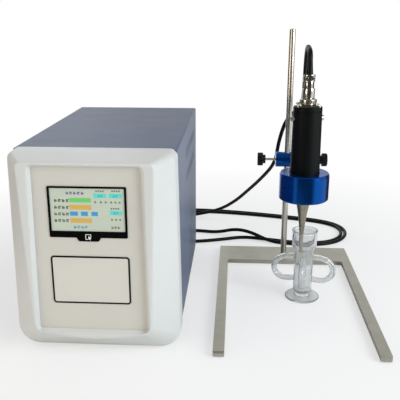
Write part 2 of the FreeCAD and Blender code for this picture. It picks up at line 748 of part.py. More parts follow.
def make_fan_screws():
    """Four screws through guard, rear panel and fan frame."""
    screws = []
    start = rear_y + d.guard_wire * 1.8
    for side in (-1, 1):
        for height in (-1, 1):
            x = console_x + d.fan_x + side * d.fan_screw_pitch / 2
            z = d.fan_z + height * d.fan_screw_pitch / 2
            head = rod(x, start, z, d.screw_head * 0.9, d.screw_head_height, "y")
            shank = rod(x, start - d.fan_screw_length, z, d.screw_shank, d.fan_screw_length, "y")
            screws.append(fuse(head, shank))
    return node(group(*screws), "fan_screws")


def make_output_socket():
    """Square-flanged round socket with its barrel through the rear panel."""
    x, z, half = console_x + d.socket_x, d.socket_z, d.socket_flange / 2
    flange = box(x - half, rear_y, z - half, half * 2, 2.5, half * 2)
    barrel = rod(x, rear_y - d.sheet - 10, z, d.socket_barrel, d.sheet + 10 + d.socket_out, "y")
    screws = [rod(x + a * (half - 4), rear_y + 2.5, z + b * (half - 4), 2, 1.2, "y")
              for a in (-1, 1) for b in (-1, 1)]
    return node(fuse(flange, barrel, *screws), "output_socket")


def make_rear_coupling_ring():
    """Knurled ring that holds the cable's plug on the output socket."""
    x, z = console_x + d.socket_x, d.socket_z
    start = rear_y + d.socket_out - d.rear_ring_length + 6
    ring = rod(x, start, z, d.rear_ring_radius, d.rear_ring_length, "y")
    bore = rod(x, start - 1, z, d.socket_barrel + d.seat_gap, d.rear_ring_length + 2, "y")
    return node(cut(ring, bore), "rear_coupling_ring")


def make_rear_plug():
    """Plug body behind the ring, with the tapered relief that the cable leaves."""
    x, z = console_x + d.socket_x, d.socket_z
    start = rear_y + d.socket_out
    body = rod(x, start, z, d.rear_plug_radius, d.rear_plug_length, "y")
    relief = cone(x, start + d.rear_plug_length, z, d.rear_boot_radius, d.cable_radius + 0.8,
                  d.rear_boot_length, "y")
    return node(fuse(body, relief), "rear_plug")


def make_mains_inlet():
    """Three-pin inlet: flanged housing, open at the back of the console, with its pins."""
    x, z = console_x + d.inlet_x, d.inlet_z
    w, tall = d.inlet_width, d.inlet_height
    flange = box(x - w / 2 - d.inlet_ear, rear_y, z - tall / 2 - 3, w + d.inlet_ear * 2,
                 d.inlet_flange, tall + 6)
    shell = box(x - w / 2, rear_y - d.inlet_depth, z - tall / 2, w, d.inlet_depth + 1, tall)
    wall = d.inlet_wall
    bay = box(x - w / 2 + wall, rear_y - d.inlet_depth + 4, z - tall / 2 + wall, w - wall * 2,
              d.inlet_depth, tall - wall * 2)
    pins = []
    for side, lift in ((-1, -2), (0, 3), (1, -2)):
        pins.append(box(x + side * d.pin_spread - d.pin_sheet / 2, rear_y - d.inlet_depth + 3.5,
                        z + lift - d.pin_width / 2, d.pin_sheet, d.pin_length, d.pin_width))
    ears = [rod(x + side * (w / 2 + d.inlet_ear / 2), rear_y - 1, z, 1.6, d.inlet_flange + 2, "y")
            for side in (-1, 1)]
    return node(fuse(cut(fuse(flange, shell), bay, *ears), *pins), "mains_inlet")


def make_switch_housing():
    """Frame of the rocker switch, snapped into the rear panel, bored for the rocker's pivot."""
    x, z = console_x + d.inlet_x, d.switch_z
    w, tall = d.switch_width, d.switch_height
    rim = box(x - w / 2 - 2, rear_y, z - tall / 2 - 2, w + 4, 2, tall + 4)
    shell = box(x - w / 2, rear_y - d.switch_depth, z - tall / 2, w, d.switch_depth + 1, tall)
    bay = box(x - w / 2 + 2, rear_y - d.switch_depth + 6, z - tall / 2 + 2, w - 4,
              d.switch_depth, tall - 4)
    bores = rod(x - w / 2 + 0.6, rear_y - 1, z, d.pivot_radius + d.slide_gap, w - 1.2, "x")
    return node(cut(fuse(rim, shell), bay, bores), "switch_housing")


def make_power_rocker():
    """Rocker tilted on its pivot across the switch, pressed in at its upper end."""
    side = console_x + d.inlet_x - d.switch_width / 2
    body = new_body(side + 2.4, rear_y - 1, d.switch_z)
    tilt = FreeCAD.Rotation(Vector(1, 0, 0), SIZES["rocker_tilt"])
    place(body, side + 2.4, rear_y - 1, d.switch_z, tilt)
    half = d.switch_height / 2 - 3.2
    profile = new_sketch(body, "YZ_Plane")
    polygon(profile, [(-6, -3), (0, -half), (3.2, -half), (1.8, 0), (3.2, half), (0, half),
                      (-6, 3)])
    pad(body, profile, d.switch_width - 4.8)
    pivot = rod(side + 0.8, rear_y - 1, d.switch_z, d.pivot_radius, d.switch_width - 1.6, "x")
    return node(fuse(body, pivot), "power_rocker")


# Inside the console

tray_floor = d.foot_height + d.sheet


def make_power_board():
    """Power board over the tray."""
    plate = box(console_x - d.board_width / 2, console_y + d.board_y, d.board_z,
                d.board_width, d.board_depth, d.board_sheet)
    return node(plate, "power_board")


def board_spots():
    """Places of the board's four standoffs."""
    spots = []
    for side in (-1, 1):
        for depth in (d.board_inset, d.board_depth - d.board_inset):
            spots.append((console_x + side * (d.board_width / 2 - d.board_inset),
                          console_y + d.board_y + depth))
    return spots


def make_board_standoffs():
    """Four standoffs between tray and power board."""
    posts = [rod(x, y, tray_floor, d.standoff_radius, d.board_z - tray_floor)
             for x, y in board_spots()]
    return node(group(*posts), "board_standoffs")


board_top = d.board_z + d.board_sheet


def make_capacitors():
    """Three can capacitors in a row on the board."""
    cans = []
    for index in range(3):
        y = console_y + d.board_y + d.capacitor_lead + index * (d.capacitor_radius * 2 + 6)
        x = console_x - d.board_width / 2 + d.capacitor_inset
        cans.append(rod(x, y, board_top, d.capacitor_radius, d.capacitor_height))
    return node(group(*cans), "capacitors")


def make_heat_sink():
    """Finned heat sink of the output stage."""
    x = console_x + d.sink_x
    y = console_y + d.board_y + d.sink_lead
    pieces = [box(x, y, board_top, d.sink_width, d.sink_depth, d.sink_base)]
    step = (d.sink_width - d.sink_fin) / (d.sink_fins - 1)
    for index in range(SIZES["sink_fins"]):
        pieces.append(box(x + step * index, y, board_top + d.sink_base - 1, d.sink_fin,
                          d.sink_depth, d.sink_height - d.sink_base + 1))
    return node(fuse(*pieces), "heat_sink")


def make_transformer_core():
    """Ferrite core of the output transformer, standing on the tray behind the board."""
    x, y = console_x - d.core_width / 2 + d.core_x, console_y + d.core_y
    block = box(x, y, tray_floor, d.core_width, d.core_depth, d.core_height)
    leg = d.core_width / 6
    windows = [box(x + leg, y - 1, tray_floor + leg, leg * 1.4, d.core_depth + 2,
                   d.core_height - leg * 2),
               box(x + d.core_width - leg * 2.4, y - 1, tray_floor + leg, leg * 1.4,
                   d.core_depth + 2, d.core_height - leg * 2)]
    return node(cut(block, *windows), "transformer_core")


def make_transformer_winding():
    """Winding round the core's middle leg."""
    leg = d.core_width / 6
    x, y = console_x + d.core_x, console_y + d.core_y + d.core_depth / 2
    low = tray_floor + leg + 0.5
    height = d.core_height - leg * 2 - 1
    outer = box(x - leg * 1.9, y - d.coil_radius - 4, low, leg * 3.8, d.coil_radius * 2 + 8, height)
    inner = box(x - leg * 0.62, y - d.core_depth / 2 - 0.2, low - 1, leg * 1.24,
                d.core_depth + 0.4, height + 2)
    return node(cut(outer, inner), "transformer_winding")


# Rod stand

def make_base_frame():
    """U of flat bar: a broad beam at the back, two bevelled legs forward and the rod's seat."""
    body = new_body(rod_x, rod_y, 0)
    outline = new_sketch(body, "XY_Plane", d.pad_height)
    half, leg = d.base_width / 2, d.leg_width
    polygon(outline, [(-half, -d.leg_reach), (-half + leg, -d.leg_reach),
                      (-half + leg, -d.beam_front), (half - leg, -d.beam_front),
                      (half - leg, -d.leg_reach), (half, -d.leg_reach), (half, d.beam_back),
                      (-half, d.beam_back)])
    pad(body, outline, d.base_top - d.pad_height)
    corners = edges_where(body, lambda edge: edge.BoundBox.ZLength > 1)
    soften(body, "Fillet", corners, d.base_corner_radius)
    seat = new_sketch(body, "XY_Plane", d.base_top)
    circle(seat, 0, 0, d.rod_radius)
    pocket(body, seat, d.rod_seat)
    hole = new_sketch(body, "XY_Plane", d.base_top)
    circle(hole, 0, 0, d.rod_screw_radius)
    pocket(body, hole, d.base_top)
    sink = new_sketch(body, "XZ_Plane")
    floor = d.pad_height
    top = d.base_top - d.rod_seat - 0.6
    polygon(sink, [(0, floor), (d.rod_screw_head, floor), (d.rod_screw_radius, top), (0, top)])
    feature(body, "Groove", sink, ReferenceAxis=(sink, ["V_Axis"]), Angle=360)
    ends = new_sketch(body, "YZ_Plane", -half - 1)
    front, high = -d.leg_reach - 1, d.base_top + 1
    polygon(ends, [(front, high - d.leg_bevel - 2), (front + d.leg_bevel + 2, high),
                   (front, high)])
    body.Tip = pocket(body, ends, d.base_width + 2, back=True)
    return node(body, "base_frame")


def make_base_pads():
    """Rubber pads under the legs and the beam."""
    pads = []
    for side in (-1, 1):
        x = rod_x + side * (d.base_width / 2 - d.leg_width / 2)
        for y in (rod_y - d.leg_reach + 12, rod_y + d.beam_back - 12):
            pads.append(rod(x, y, 0, d.pad_radius, d.pad_height))
    return node(group(*pads), "base_pads")


def make_stand_rod():
    """Polished rod with bevelled ends and the threaded hole of its screw."""
    body = new_body(rod_x, rod_y, 0)
    low, high, radius = d.base_top - d.rod_seat, d.rod_top, d.rod_radius
    profile = new_sketch(body, "XZ_Plane")
    polygon(profile, [(d.rod_screw_radius, low), (radius, low), (radius, high - 1),
                      (radius - 1, high), (0, high), (0, d.rod_screw_length + 3),
                      (d.rod_screw_radius, d.rod_screw_length + 3)])
    revolve(body, profile)
    return node(body, "stand_rod")


def make_rod_screw():
    """Countersunk screw from below that holds the rod in its seat."""
    body = new_body(rod_x, rod_y, 0)
    floor = d.pad_height
    top = d.base_top - d.rod_seat - 0.6
    profile = new_sketch(body, "XZ_Plane")
    polygon(profile, [(0, floor), (d.rod_screw_head, floor), (d.rod_screw_radius, top),
                      (d.rod_screw_radius, d.rod_screw_length), (0, d.rod_screw_length)])
    revolve(body, profile)
    return node(body, "rod_fixing_screw")


# Clamp block and its thumbscrews

def make_clamp_block():
    """Round bar across the rod, bored for rod and arm, with a stud hole from each end."""
    body = new_body(rod_x - d.block_left, rod_y, d.clamp_z)
    length = d.block_left + d.arm_offset + d.block_right
    outline = new_sketch(body, "YZ_Plane")
    circle(outline, 0, 0, d.block_radius)
    pad(body, outline, length)
    rims = edges_where(body, lambda edge: edge.BoundBox.XLength < 0.01)
    soften(body, "Chamfer", rims, d.block_chamfer)
    upright = new_sketch(body, "XY_Plane", d.block_radius + 1)
    circle(upright, d.block_left, 0, d.rod_radius + d.slide_gap)
    pocket(body, upright, d.block_radius * 2 + 2)
    level = new_sketch(body, "XZ_Plane", d.block_radius + 1)
    circle(level, d.block_left + d.arm_offset, 0, d.arm_radius + d.slide_gap)
    pocket(body, level, d.block_radius * 2 + 2)
    left = new_sketch(body, "YZ_Plane")
    circle(left, 0, 0, d.stud_radius + d.slide_gap)
    pocket(body, left, d.block_left, back=True)
    right = new_sketch(body, "YZ_Plane", length)
    circle(right, 0, 0, d.stud_radius + d.slide_gap)
    pocket(body, right, d.block_right)
    line = new_sketch(body, "YZ_Plane")
    low = -d.groove_drop
    polygon(line, [(-d.block_radius - 1, low - d.groove_width),
                   (-d.block_radius + d.groove_depth, low - d.groove_width),
                   (-d.block_radius + d.groove_depth, low), (-d.block_radius - 1, low)])
    pocket(body, line, length, back=True)
    return node(body, "clamp_block")


def make_thumbscrew(label, tip, side):
    """Knob and stud of one thumbscrew: tip is the stud's inner end, side its direction."""
    hole_end = d.block_left if side < 0 else d.block_right
    inner = (d.rod_radius if side < 0 else d.arm_radius) + 0.1
    reach = hole_end + d.stud_free - inner
    hub_x = tip + side * (hole_end + d.stud_free)
    start = tip + side * inner
    length = reach + d.knob_hub + d.knob_length - 4
    low = start if side > 0 else start - length
    stud = rod(low, rod_y, d.clamp_z, d.stud_radius, length, "x")
    body = new_body(hub_x, rod_y, d.clamp_z)
    if side < 0:
        place(body, hub_x, rod_y, d.clamp_z, FreeCAD.Rotation(Vector(0, 0, 1), 180))
    hub = new_sketch(body, "YZ_Plane")
    circle(hub, 0, 0, d.knob_hub_radius)
    pad(body, hub, d.knob_hub)
    head = new_sketch(body, "YZ_Plane", d.knob_hub)
    circle(head, 0, 0, d.knob_radius)
    pad(body, head, d.knob_length)
    rims = edges_where(body, lambda edge: edge.BoundBox.XLength < 0.01
                       and edge.BoundBox.YLength > d.knob_radius.value * 1.9)
    soften(body, "Fillet", rims, 2)
    scallop = new_sketch(body, "YZ_Plane", d.knob_hub - 0.5)
    circle(scallop, d.knob_radius + d.knob_scallop - d.knob_bite, 0, d.knob_scallop)
    first = pocket(body, scallop, d.knob_length + 1, back=True)
    ring_of(body, first, scallop, d.knob_lobes)
    bore = new_sketch(body, "YZ_Plane")
    circle(bore, 0, 0, d.stud_radius)
    pocket(body, bore, d.knob_hub + d.knob_length - 4, back=True)
    return node(body, f"{label}_knob"), node(stud, f"{label}_stud")


# Arm, ring and transducer

ring_mid = d.ring_bottom + d.ring_height / 2
ring_top = d.ring_bottom + d.ring_height
arm_x = rod_x + d.arm_offset


def make_holder_arm():
    """Steel arm from its seat in the ring, through the block, with a bevelled tail."""
    start = axis_y + d.ring_radius - d.arm_seat
    body = new_body(arm_x, start, d.clamp_z)
    length = d.axis_setback - d.ring_radius + d.arm_seat + d.block_radius + d.arm_tail
    outline = new_sketch(body, "XZ_Plane")
    circle(outline, 0, 0, d.arm_radius)
    pad(body, outline, length, back=True)
    rims = edges_where(body, lambda edge: edge.BoundBox.YLength < 0.01
                       and edge.BoundBox.YMin > length.value / 2)
    soften(body, "Chamfer", rims, 1)
    return node(body, "holder_arm")


def make_holder_ring():
    """Thick ring with a shoulder for the transducer's flange, bevels and the arm's seat."""
    body = new_body(axis_x, axis_y, 0)
    inner, outer = d.housing_radius + d.bore_gap, d.ring_radius
    low, top = d.ring_bottom, ring_top
    profile = new_sketch(body, "XZ_Plane")
    polygon(profile, [(d.shoulder_radius, low), (outer - d.ring_chamfer, low),
                      (outer, low + d.ring_chamfer), (outer, top - d.ring_chamfer - 2),
                      (outer - d.ring_step, top - d.ring_chamfer - 2),
                      (outer - d.ring_step, top - 1), (outer - d.ring_step - 1, top),
                      (inner + 1, top), (inner, top - 1), (inner, d.shoulder_z),
                      (d.shoulder_radius, d.shoulder_z)])
    revolve(body, profile)
    seat = new_sketch(body, "XZ_Plane", -outer - 1)
    circle(seat, 0, d.clamp_z, d.arm_radius)
    pocket(body, seat, d.arm_seat + 1, back=True)
    doc.recompute()
    bores = []
    for turn in set_screw_turns():
        reach = Vector(math.cos(turn), math.sin(turn), 0)
        bore = doc.addObject("Part::Cylinder", "ScrewHole")
        bind(bore, "Radius", d.set_screw_radius)
        bind(bore, "Height", outer - inner + 3)
        place(bore, axis_x + (inner - 1) * reach.x, axis_y + (inner - 1) * reach.y, ring_mid,
              FreeCAD.Rotation(Vector(0, 0, 1), reach))
        bores.append(bore)
    return node(cut(body, *bores), "holder_ring")


def set_screw_turns():
    """Directions of the ring's grub screws."""
    return [math.radians(angle) for angle in (-30, 210)]


def make_ring_set_screws():
    """Grub screws that hold the transducer in the ring."""
    screws = []
    inner = d.housing_radius + d.bore_gap
    for turn in set_screw_turns():
        reach = Vector(math.cos(turn), math.sin(turn), 0)
        screw = doc.addObject("Part::Cylinder", "GrubScrew")
        bind(screw, "Radius", d.set_screw_radius)
        bind(screw, "Height", d.ring_radius - inner - 2)
        place(screw, axis_x + inner * reach.x, axis_y + inner * reach.y, ring_mid,
              FreeCAD.Rotation(Vector(0, 0, 1), reach))
        screws.append(screw)
    return node(group(*screws), "ring_set_screws")


flange_top = d.shoulder_z + d.flange_sheet


def make_housing():
    """Black tube that narrows a little from the ring to its cap."""
    body = new_body(axis_x, axis_y, 0)
    wall = d.housing_wall
    profile = new_sketch(body, "XZ_Plane")
    polygon(profile, [(d.housing_radius - wall, flange_top), (d.housing_radius, flange_top),
                      (d.housing_radius, ring_top), (d.housing_top_radius, d.cap_bottom),
                      (d.housing_radius - wall, d.cap_bottom)])
    revolve(body, profile)
    holes = side_screw_parts(d.screw_shank, wall + 4, d.housing_radius - wall - 1)
    return node(cut(body, *holes), "transducer_housing")


def side_screw_parts(radius, length, start):
    """Cylinders that point outwards at the places of the housing's side screws."""
    parts = []
    for angle in (SIZES["side_screw_angle"], SIZES["side_screw_angle"] - 180):
        turn = math.radians(angle)
        reach = Vector(math.cos(turn), math.sin(turn), 0)
        part = doc.addObject("Part::Cylinder", "SideScrew")
        bind(part, "Radius", radius)
        bind(part, "Height", length)
        place(part, axis_x + start * reach.x, axis_y + start * reach.y, d.side_screw_z,
              FreeCAD.Rotation(Vector(0, 0, 1), reach))
        parts.append(part)
    return parts


def make_housing_screws():
    """Side screws that hold the inner frame of the housing."""
    taper = (d.housing_top_radius - d.housing_radius) / (d.cap_bottom - ring_top)
    seat = d.housing_radius + taper * (d.side_screw_z - d.side_screw_head - ring_top)
    shanks = side_screw_parts(d.screw_shank, d.housing_wall + 2, d.housing_radius - d.housing_wall)
    heads = side_screw_parts(d.side_screw_head, d.side_screw_height, seat)
    return node(group(*[fuse(a, b) for a, b in zip(shanks, heads)]), "housing_screws")


def make_housing_cap():
    """Cap with a rounded rim, set into the tube."""
    body = new_body(axis_x, axis_y, 0)
    radius, low, top = d.housing_top_radius, d.cap_bottom, d.cap_top
    inner = d.housing_radius - d.housing_wall
    profile = new_sketch(body, "XZ_Plane")
    polygon(profile, [(0, low - d.cap_spigot), (inner, low - d.cap_spigot), (inner, low),
                      (radius - 0.6, low), (radius, low + 0.6), (radius, top), (0, top)])
    revolve(body, profile)
    rim = edges_where(body, lambda edge: edge.BoundBox.ZMin > top.value - 0.01
                      and edge.BoundBox.XLength > radius.value * 1.9)
    soften(body, "Fillet", rim, 2)
    return node(body, "housing_cap")


def horn_radius(height):
    """Radius of the horn's flank: an exponential run from its body to the slim stem."""
    slim, wide = number(d.tip_radius) + 0.7, number(d.horn_wide_radius)
    low, high = number(d.horn_slim_z), number(d.horn_wide_z)
    return slim * (wide / slim) ** ((height - low) / (high - low))


def make_horn():
    """Titanium horn: body, nodal flange, exponential flank and slim tip, turned as one."""
    body_radius, wide = number(d.horn_body_radius), number(d.housing_radius) - 0.1
    shoulder, flange = number(d.shoulder_z), number(flange_top)
    tip, thin, top = number(d.tip_z), number(d.tip_radius), number(d.horn_body_top)
    low, flank_top = number(d.horn_slim_z), shoulder - number(d.horn_neck)
    heights = [flank_top - (flank_top - low) * index / 10 for index in range(11)]
    flank = Part.BSplineCurve()
    points = [Vector(min(horn_radius(height), body_radius - 1), 0, height) for height in heights]
    flank.interpolate(points)
    stem = Vector(thin + 0.3, 0, number(d.horn_stem_z))
    corners = [Vector(0, 0, tip), Vector(thin, 0, tip), stem, points[-1]]
    edges = [Part.makeLine(corners[index], corners[index + 1]) for index in range(3)]
    edges.append(flank.toShape())
    upper = [points[0], Vector(body_radius, 0, flank_top + 2), Vector(body_radius, 0, shoulder),
             Vector(wide, 0, shoulder), Vector(wide, 0, flange), Vector(body_radius, 0, flange),
             Vector(body_radius, 0, top), Vector(0, 0, top), corners[0]]
    edges += [Part.makeLine(upper[index], upper[index + 1]) for index in range(len(upper) - 1)]
    wire = Part.Wire(Part.__sortEdges__(edges))
    turned = Part.Face(wire).revolve(Vector(), Vector(0, 0, 1), 360)
    thread = Part.makeCylinder(number(d.bolt_radius), 14, Vector(0, 0, top - 14))
    horn = doc.addObject("Part::Feature", "Horn")
    horn.Shape = Part.Solid(turned).cut(thread) if turned.ShapeType != "Solid" \
        else turned.cut(thread)
    place(horn, axis_x, axis_y, 0)
    return node(horn, "horn")


def stack_levels():
    """Low faces of the four piezo rings, with an electrode under the last three."""
    step = d.piezo_sheet + d.electrode_sheet
    return [d.horn_body_top + step * index for index in range(4)]


def washer(low, outer, inner, height):
    """Flat ring round the transducer's axis."""
    return cut(rod(axis_x, axis_y, low, outer, height),
               rod(axis_x, axis_y, low - 1, inner, height + 2))


def make_piezo_rings():
    """Four ceramic rings between horn and back mass."""
    rings = [washer(low, d.horn_body_radius, d.piezo_bore, d.piezo_sheet)
             for low in stack_levels()]
    return node(group(*rings), "piezo_rings")


def make_electrode_plates():
    """Thin plates between the rings, each with a solder tab."""
    plates = []
    for index, low in enumerate(stack_levels()[1:]):
        under = low - d.electrode_sheet
        disc = washer(under, d.horn_body_radius, d.piezo_bore, d.electrode_sheet)
        side = -1 if index % 2 else 1
        reach = d.horn_body_radius - 2 if side > 0 else -d.horn_body_radius - 1
        tab = box(axis_x + reach, axis_y - 2.5, under, 3, 5, d.electrode_sheet)
        plates.append(fuse(disc, tab))
    return node(group(*plates), "electrode_plates")


mass_low = d.horn_body_top + d.piezo_sheet * 4 + d.electrode_sheet * 3


def make_back_mass():
    """Steel back mass on the ceramic stack."""
    return node(washer(mass_low, d.horn_body_radius, d.bolt_radius + 0.3, d.back_mass_height),
                "back_mass")


def make_preload_bolt():
    """Bolt that draws back mass and stack onto the horn."""
    top = mass_low + d.back_mass_height
    shank = rod(axis_x, axis_y, d.horn_body_top - 13, d.bolt_radius, top - d.horn_body_top + 13)
    head = rod(axis_x, axis_y, top, d.bolt_head_radius, d.bolt_head)
    socket = doc.addObject("Part::Prism", "HexSocket")
    bind(socket, "Circumradius", d.bolt_radius * 0.9)
    bind(socket, "Height", d.bolt_head)
    place(socket, axis_x, axis_y, top + 2)
    return node(cut(fuse(shank, head), socket), "preload_bolt")


# Socket and plug on the transducer

def corner_spots(half):
    """Four corners of a square about the transducer's axis."""
    return [(axis_x + a * half, axis_y + b * half) for a in (-1, 1) for b in (-1, 1)]


def make_socket_flange():
    """Square nickel plate with the receptacle that the plug enters."""
    body = new_body(axis_x, axis_y, d.cap_top)
    half = d.plate_size / 2
    outline = new_sketch(body)
    oblong(outline, -half, -half, half, half, 3)
    pad(body, outline, d.plate_sheet)
    barrel = new_sketch(body, "XY_Plane", d.plate_sheet)
    circle(barrel, 0, 0, d.receptacle_radius)
    pad(body, barrel, d.ring_nut_height - 1)
    bore = new_sketch(body, "XY_Plane", d.plate_sheet + d.ring_nut_height)
    circle(bore, 0, 0, d.receptacle_radius - 1.5)
    pocket(body, bore, d.ring_nut_height - 1)
    return node(body, "socket_flange")


def make_socket_screws():
    """Round-headed screws in the plate's corners."""
    top = d.cap_top + d.plate_sheet
    heads = []
    for x, y in corner_spots(d.plate_screw_pitch / 2):
        heads.append(cone(x, y, top, d.plate_screw_head, d.plate_screw_head * 0.7, 1.6))
    return node(group(*heads), "socket_screws")


ring_nut_low = d.cap_top + d.plate_sheet + 0.3
ring_nut_high = ring_nut_low + d.ring_nut_height


def make_coupling_ring():
    """Knurled ring that draws plug and socket together."""
    body = new_body(axis_x, axis_y, ring_nut_low)
    outline = new_sketch(body)
    circle(outline, 0, 0, d.ring_nut_radius)
    circle(outline, 0, 0, d.receptacle_radius + d.slide_gap)
    pad(body, outline, d.ring_nut_height)
    rims = edges_where(body, lambda edge: edge.BoundBox.ZLength < 0.01
                       and edge.BoundBox.XLength > d.ring_nut_radius.value * 1.9)
    soften(body, "Chamfer", rims, 0.8)
    return node(body, "coupling_ring")


def make_plug_body():
    """Plug's barrel with its keyway in front, and the spigot inside the socket."""
    barrel_low = ring_nut_high + 0.3
    body = new_body(axis_x, axis_y, 0)
    profile = new_sketch(body, "XZ_Plane")
    spigot = d.receptacle_radius - 1.7
    polygon(profile, [(0, d.cap_top + d.plate_sheet + 2), (spigot, d.cap_top + d.plate_sheet + 2),
                      (spigot, barrel_low), (d.barrel_radius, barrel_low),
                      (d.barrel_radius, d.barrel_top), (0, d.barrel_top)])
    revolve(body, profile)
    slot = new_sketch(body, "XZ_Plane", d.barrel_radius + 1)
    half = d.keyway_width / 2
    polygon(slot, [(-half, barrel_low + 2), (half, barrel_low + 2), (half, d.barrel_top - 2),
                   (-half, d.barrel_top - 2)])
    pocket(body, slot, d.keyway_depth + 1)
    return node(body, "plug_body")


def make_gland_nut():
    """Hexagonal nut on the barrel, turned round at its rims."""
    prism = doc.addObject("Part::Prism", "Hexagon")
    bind(prism, "Circumradius", d.gland_radius * 1.08)
    bind(prism, "Height", d.gland_top - d.barrel_top)
    place(prism, axis_x, axis_y, d.barrel_top)
    rounded_bar = rod(axis_x, axis_y, d.barrel_top, d.gland_radius, d.gland_top - d.barrel_top)
    nut = doc.addObject("Part::MultiCommon", "NutForm")
    nut.Shapes = [prism, rounded_bar]
    return node(nut, "gland_nut")


def make_cable_saddle():
    """Two clamp halves, seen as one round saddle with a slit and two screw holes."""
    low, height = d.gland_top, d.saddle_top - d.gland_top
    block = rod(axis_x, axis_y, low, d.saddle_radius, height)
    slit = box(axis_x - d.saddle_radius - 1, axis_y - d.saddle_split / 2, low + 2,
               d.saddle_radius - 4, d.saddle_split, height)
    other = box(axis_x + 5, axis_y - d.saddle_split / 2, low + 2, d.saddle_radius - 4,
                d.saddle_split, height)
    face = box(axis_x - d.saddle_radius, axis_y - d.saddle_radius - 1, low + 2,
               d.saddle_radius * 2, 3, height - 4)
    return node(cut(block, slit, other, face), "cable_saddle")


def make_saddle_screws():
    """Two screws on the saddle's front flat."""
    y = axis_y - d.saddle_radius + 2
    middle = (d.gland_top + d.saddle_top) / 2
    heads = [rod(axis_x + side * 4.5, y - 1.4, middle, d.saddle_screw, 1.4, "y")
             for side in (-1, 1)]
    return node(group(*heads), "saddle_screws")


def boot_end():
    """Where the cable leaves the bent relief, and its direction there."""
    turn = math.radians(number(d.boot_turn))
    bend = number(d.boot_bend)
    start = Vector(number(axis_x), number(axis_y), number(d.saddle_top + d.boot_straight))
    shift = Vector(0, bend * (1 - math.cos(turn)), bend * math.sin(turn))
    return start + shift, Vector(0, math.sin(turn), math.cos(turn))


def make_strain_relief_boot():
    """Rubber relief that tapers from the saddle and bends back with the cable."""
    base, tip = number(d.boot_radius), number(d.boot_tip_radius)
    straight, bend = number(d.boot_straight), number(d.boot_bend)
    turn = math.radians(number(d.boot_turn))
    total = straight + bend * turn
    low = number(d.saddle_top)
    middle = Vector(number(axis_x), number(axis_y), low)
    sections = []
    stations = [straight * index / 3 for index in range(4)]
    stations += [straight + bend * turn * index / 6 for index in range(1, 7)]
    for along in stations:
        angle = max(along - straight, 0) / bend
        up = min(along, straight) + bend * math.sin(angle)
        centre = middle + Vector(0, bend * (1 - math.cos(angle)), up)
        heading = Vector(0, math.sin(angle), math.cos(angle))
        radius = base + (tip - base) * along / total
        sections.append(Part.Wire(Part.makeCircle(radius, centre, heading)))
    boot = doc.addObject("Part::Feature", "Boot")
    boot.Shape = Part.makeLoft(sections, True, True)
    return node(boot, "strain_relief_boot")


# Glass cell on the table

def make_cell_body():
    """Open glass vessel: wide mouth, shoulder, lower tube and foot in one."""
    body = new_body(cell_x, axis_y, 0)
    wall, rim, waist, low = d.glass_wall, d.rim_radius, d.waist_radius, d.lower_radius
    profile = new_sketch(body, "XZ_Plane")
    bottom = d.foot_disc + d.stem_height
    polygon(profile, [
        (0, 0), (d.foot_disc_radius - 1, 0), (d.foot_disc_radius, 1),
        (d.foot_disc_radius, d.foot_disc - 1), (d.foot_disc_radius - 1, d.foot_disc),
        (d.stem_radius + 1.5, d.foot_disc + 0.7), (d.stem_radius, bottom - 0.5),
        (low * 0.85, bottom + 1.5), (low, d.lower_z), (waist, d.shoulder_low),
        (rim, d.shoulder_high), (rim, d.rim_z - 3), (rim + d.rim_bead, d.rim_z - 2),
        (rim + d.rim_bead, d.rim_z), (rim - wall, d.rim_z), (rim - wall, d.shoulder_high + 1),
        (waist - wall, d.shoulder_low), (low - wall, d.lower_z + 1),
        (low * 0.6, bottom + 4), (0, bottom + 3)])
    revolve(body, profile)
    return node(body, "cell_body")


def loop_path(turn):
    """Path of one loop arm from the vessel's wall out, down and back."""
    reach, radius = number(d.loop_reach), number(d.loop_radius)
    start = number(d.lower_radius) - 1
    outer = reach - radius
    heights = (number(d.loop_high), number(d.loop_tip_z), number(d.loop_low))
    marks = [(start, heights[0]), (outer * 0.62, heights[0] - 1), (outer, heights[1] + 10),
             (outer, heights[1] - 8), (outer * 0.62, heights[2]), (start, heights[2] + 1)]
    return [Vector(number(cell_x) + r * math.cos(turn), number(axis_y) + r * math.sin(turn), z)
            for r, z in marks]


def make_loop_arms():
    """Three glass loops that lead from the vessel's waist back into its lower end."""
    core = Part.makeCone(number(d.lower_radius), number(d.waist_radius),
                         number(d.shoulder_low - d.lower_z),
                         Vector(number(cell_x), number(axis_y), number(d.lower_z)))
    arms = []
    for index in range(3):
        turn = math.radians(number(d.loop_turn + d.loop_spread * index) - 90)
        tube, _ = sweep_tube(loop_path(turn), number(d.loop_radius))
        arms.append(tube.cut(core))
    loops = doc.addObject("Part::Feature", "Loops")
    loops.Shape = Part.makeCompound(arms)
    return node(loops, "loop_arms")


# Cable

def route_line(points):
    """Straight runs joined by tangent arcs, as large as the runs allow, and the arcs' radii."""
    edges, radii = [], []
    last = points[0]
    for index in range(1, len(points) - 1):
        back = points[index - 1] - points[index]
        ahead = points[index + 1] - points[index]
        half = (math.pi - back.getAngle(ahead)) / 2
        reach = 0.45 * min(back.Length, ahead.Length)
        back.normalize()
        ahead.normalize()
        radii.append(reach / math.tan(half))
        start, end = points[index] + back * reach, points[index] + ahead * reach
        inward = (back + ahead).normalize()
        centre_reach = math.hypot(reach, radii[-1])
        middle = points[index] + inward * (centre_reach - radii[-1])
        edges.append(Part.LineSegment(last, start).toShape())
        edges.append(Part.Arc(start, middle, end).toShape())
        last = end
    edges.append(Part.LineSegment(last, points[-1]).toShape())
    return Part.Wire(edges), radii


def sweep_tube(points, radius):
    """A round tube along a route, with the radii of its bends."""
    line, radii = route_line(points)
    heading = points[1] - points[0]
    profile = Part.Wire(Part.makeCircle(radius, points[0], heading))
    tube = line.makePipeShell([profile], True, False)
    share = tube.Volume / (math.pi * radius ** 2 * line.Length)
    if abs(share - 1) > 0.01:
        raise ValueError(f"tube volume is off by {share:.3f}")
    return tube, radii


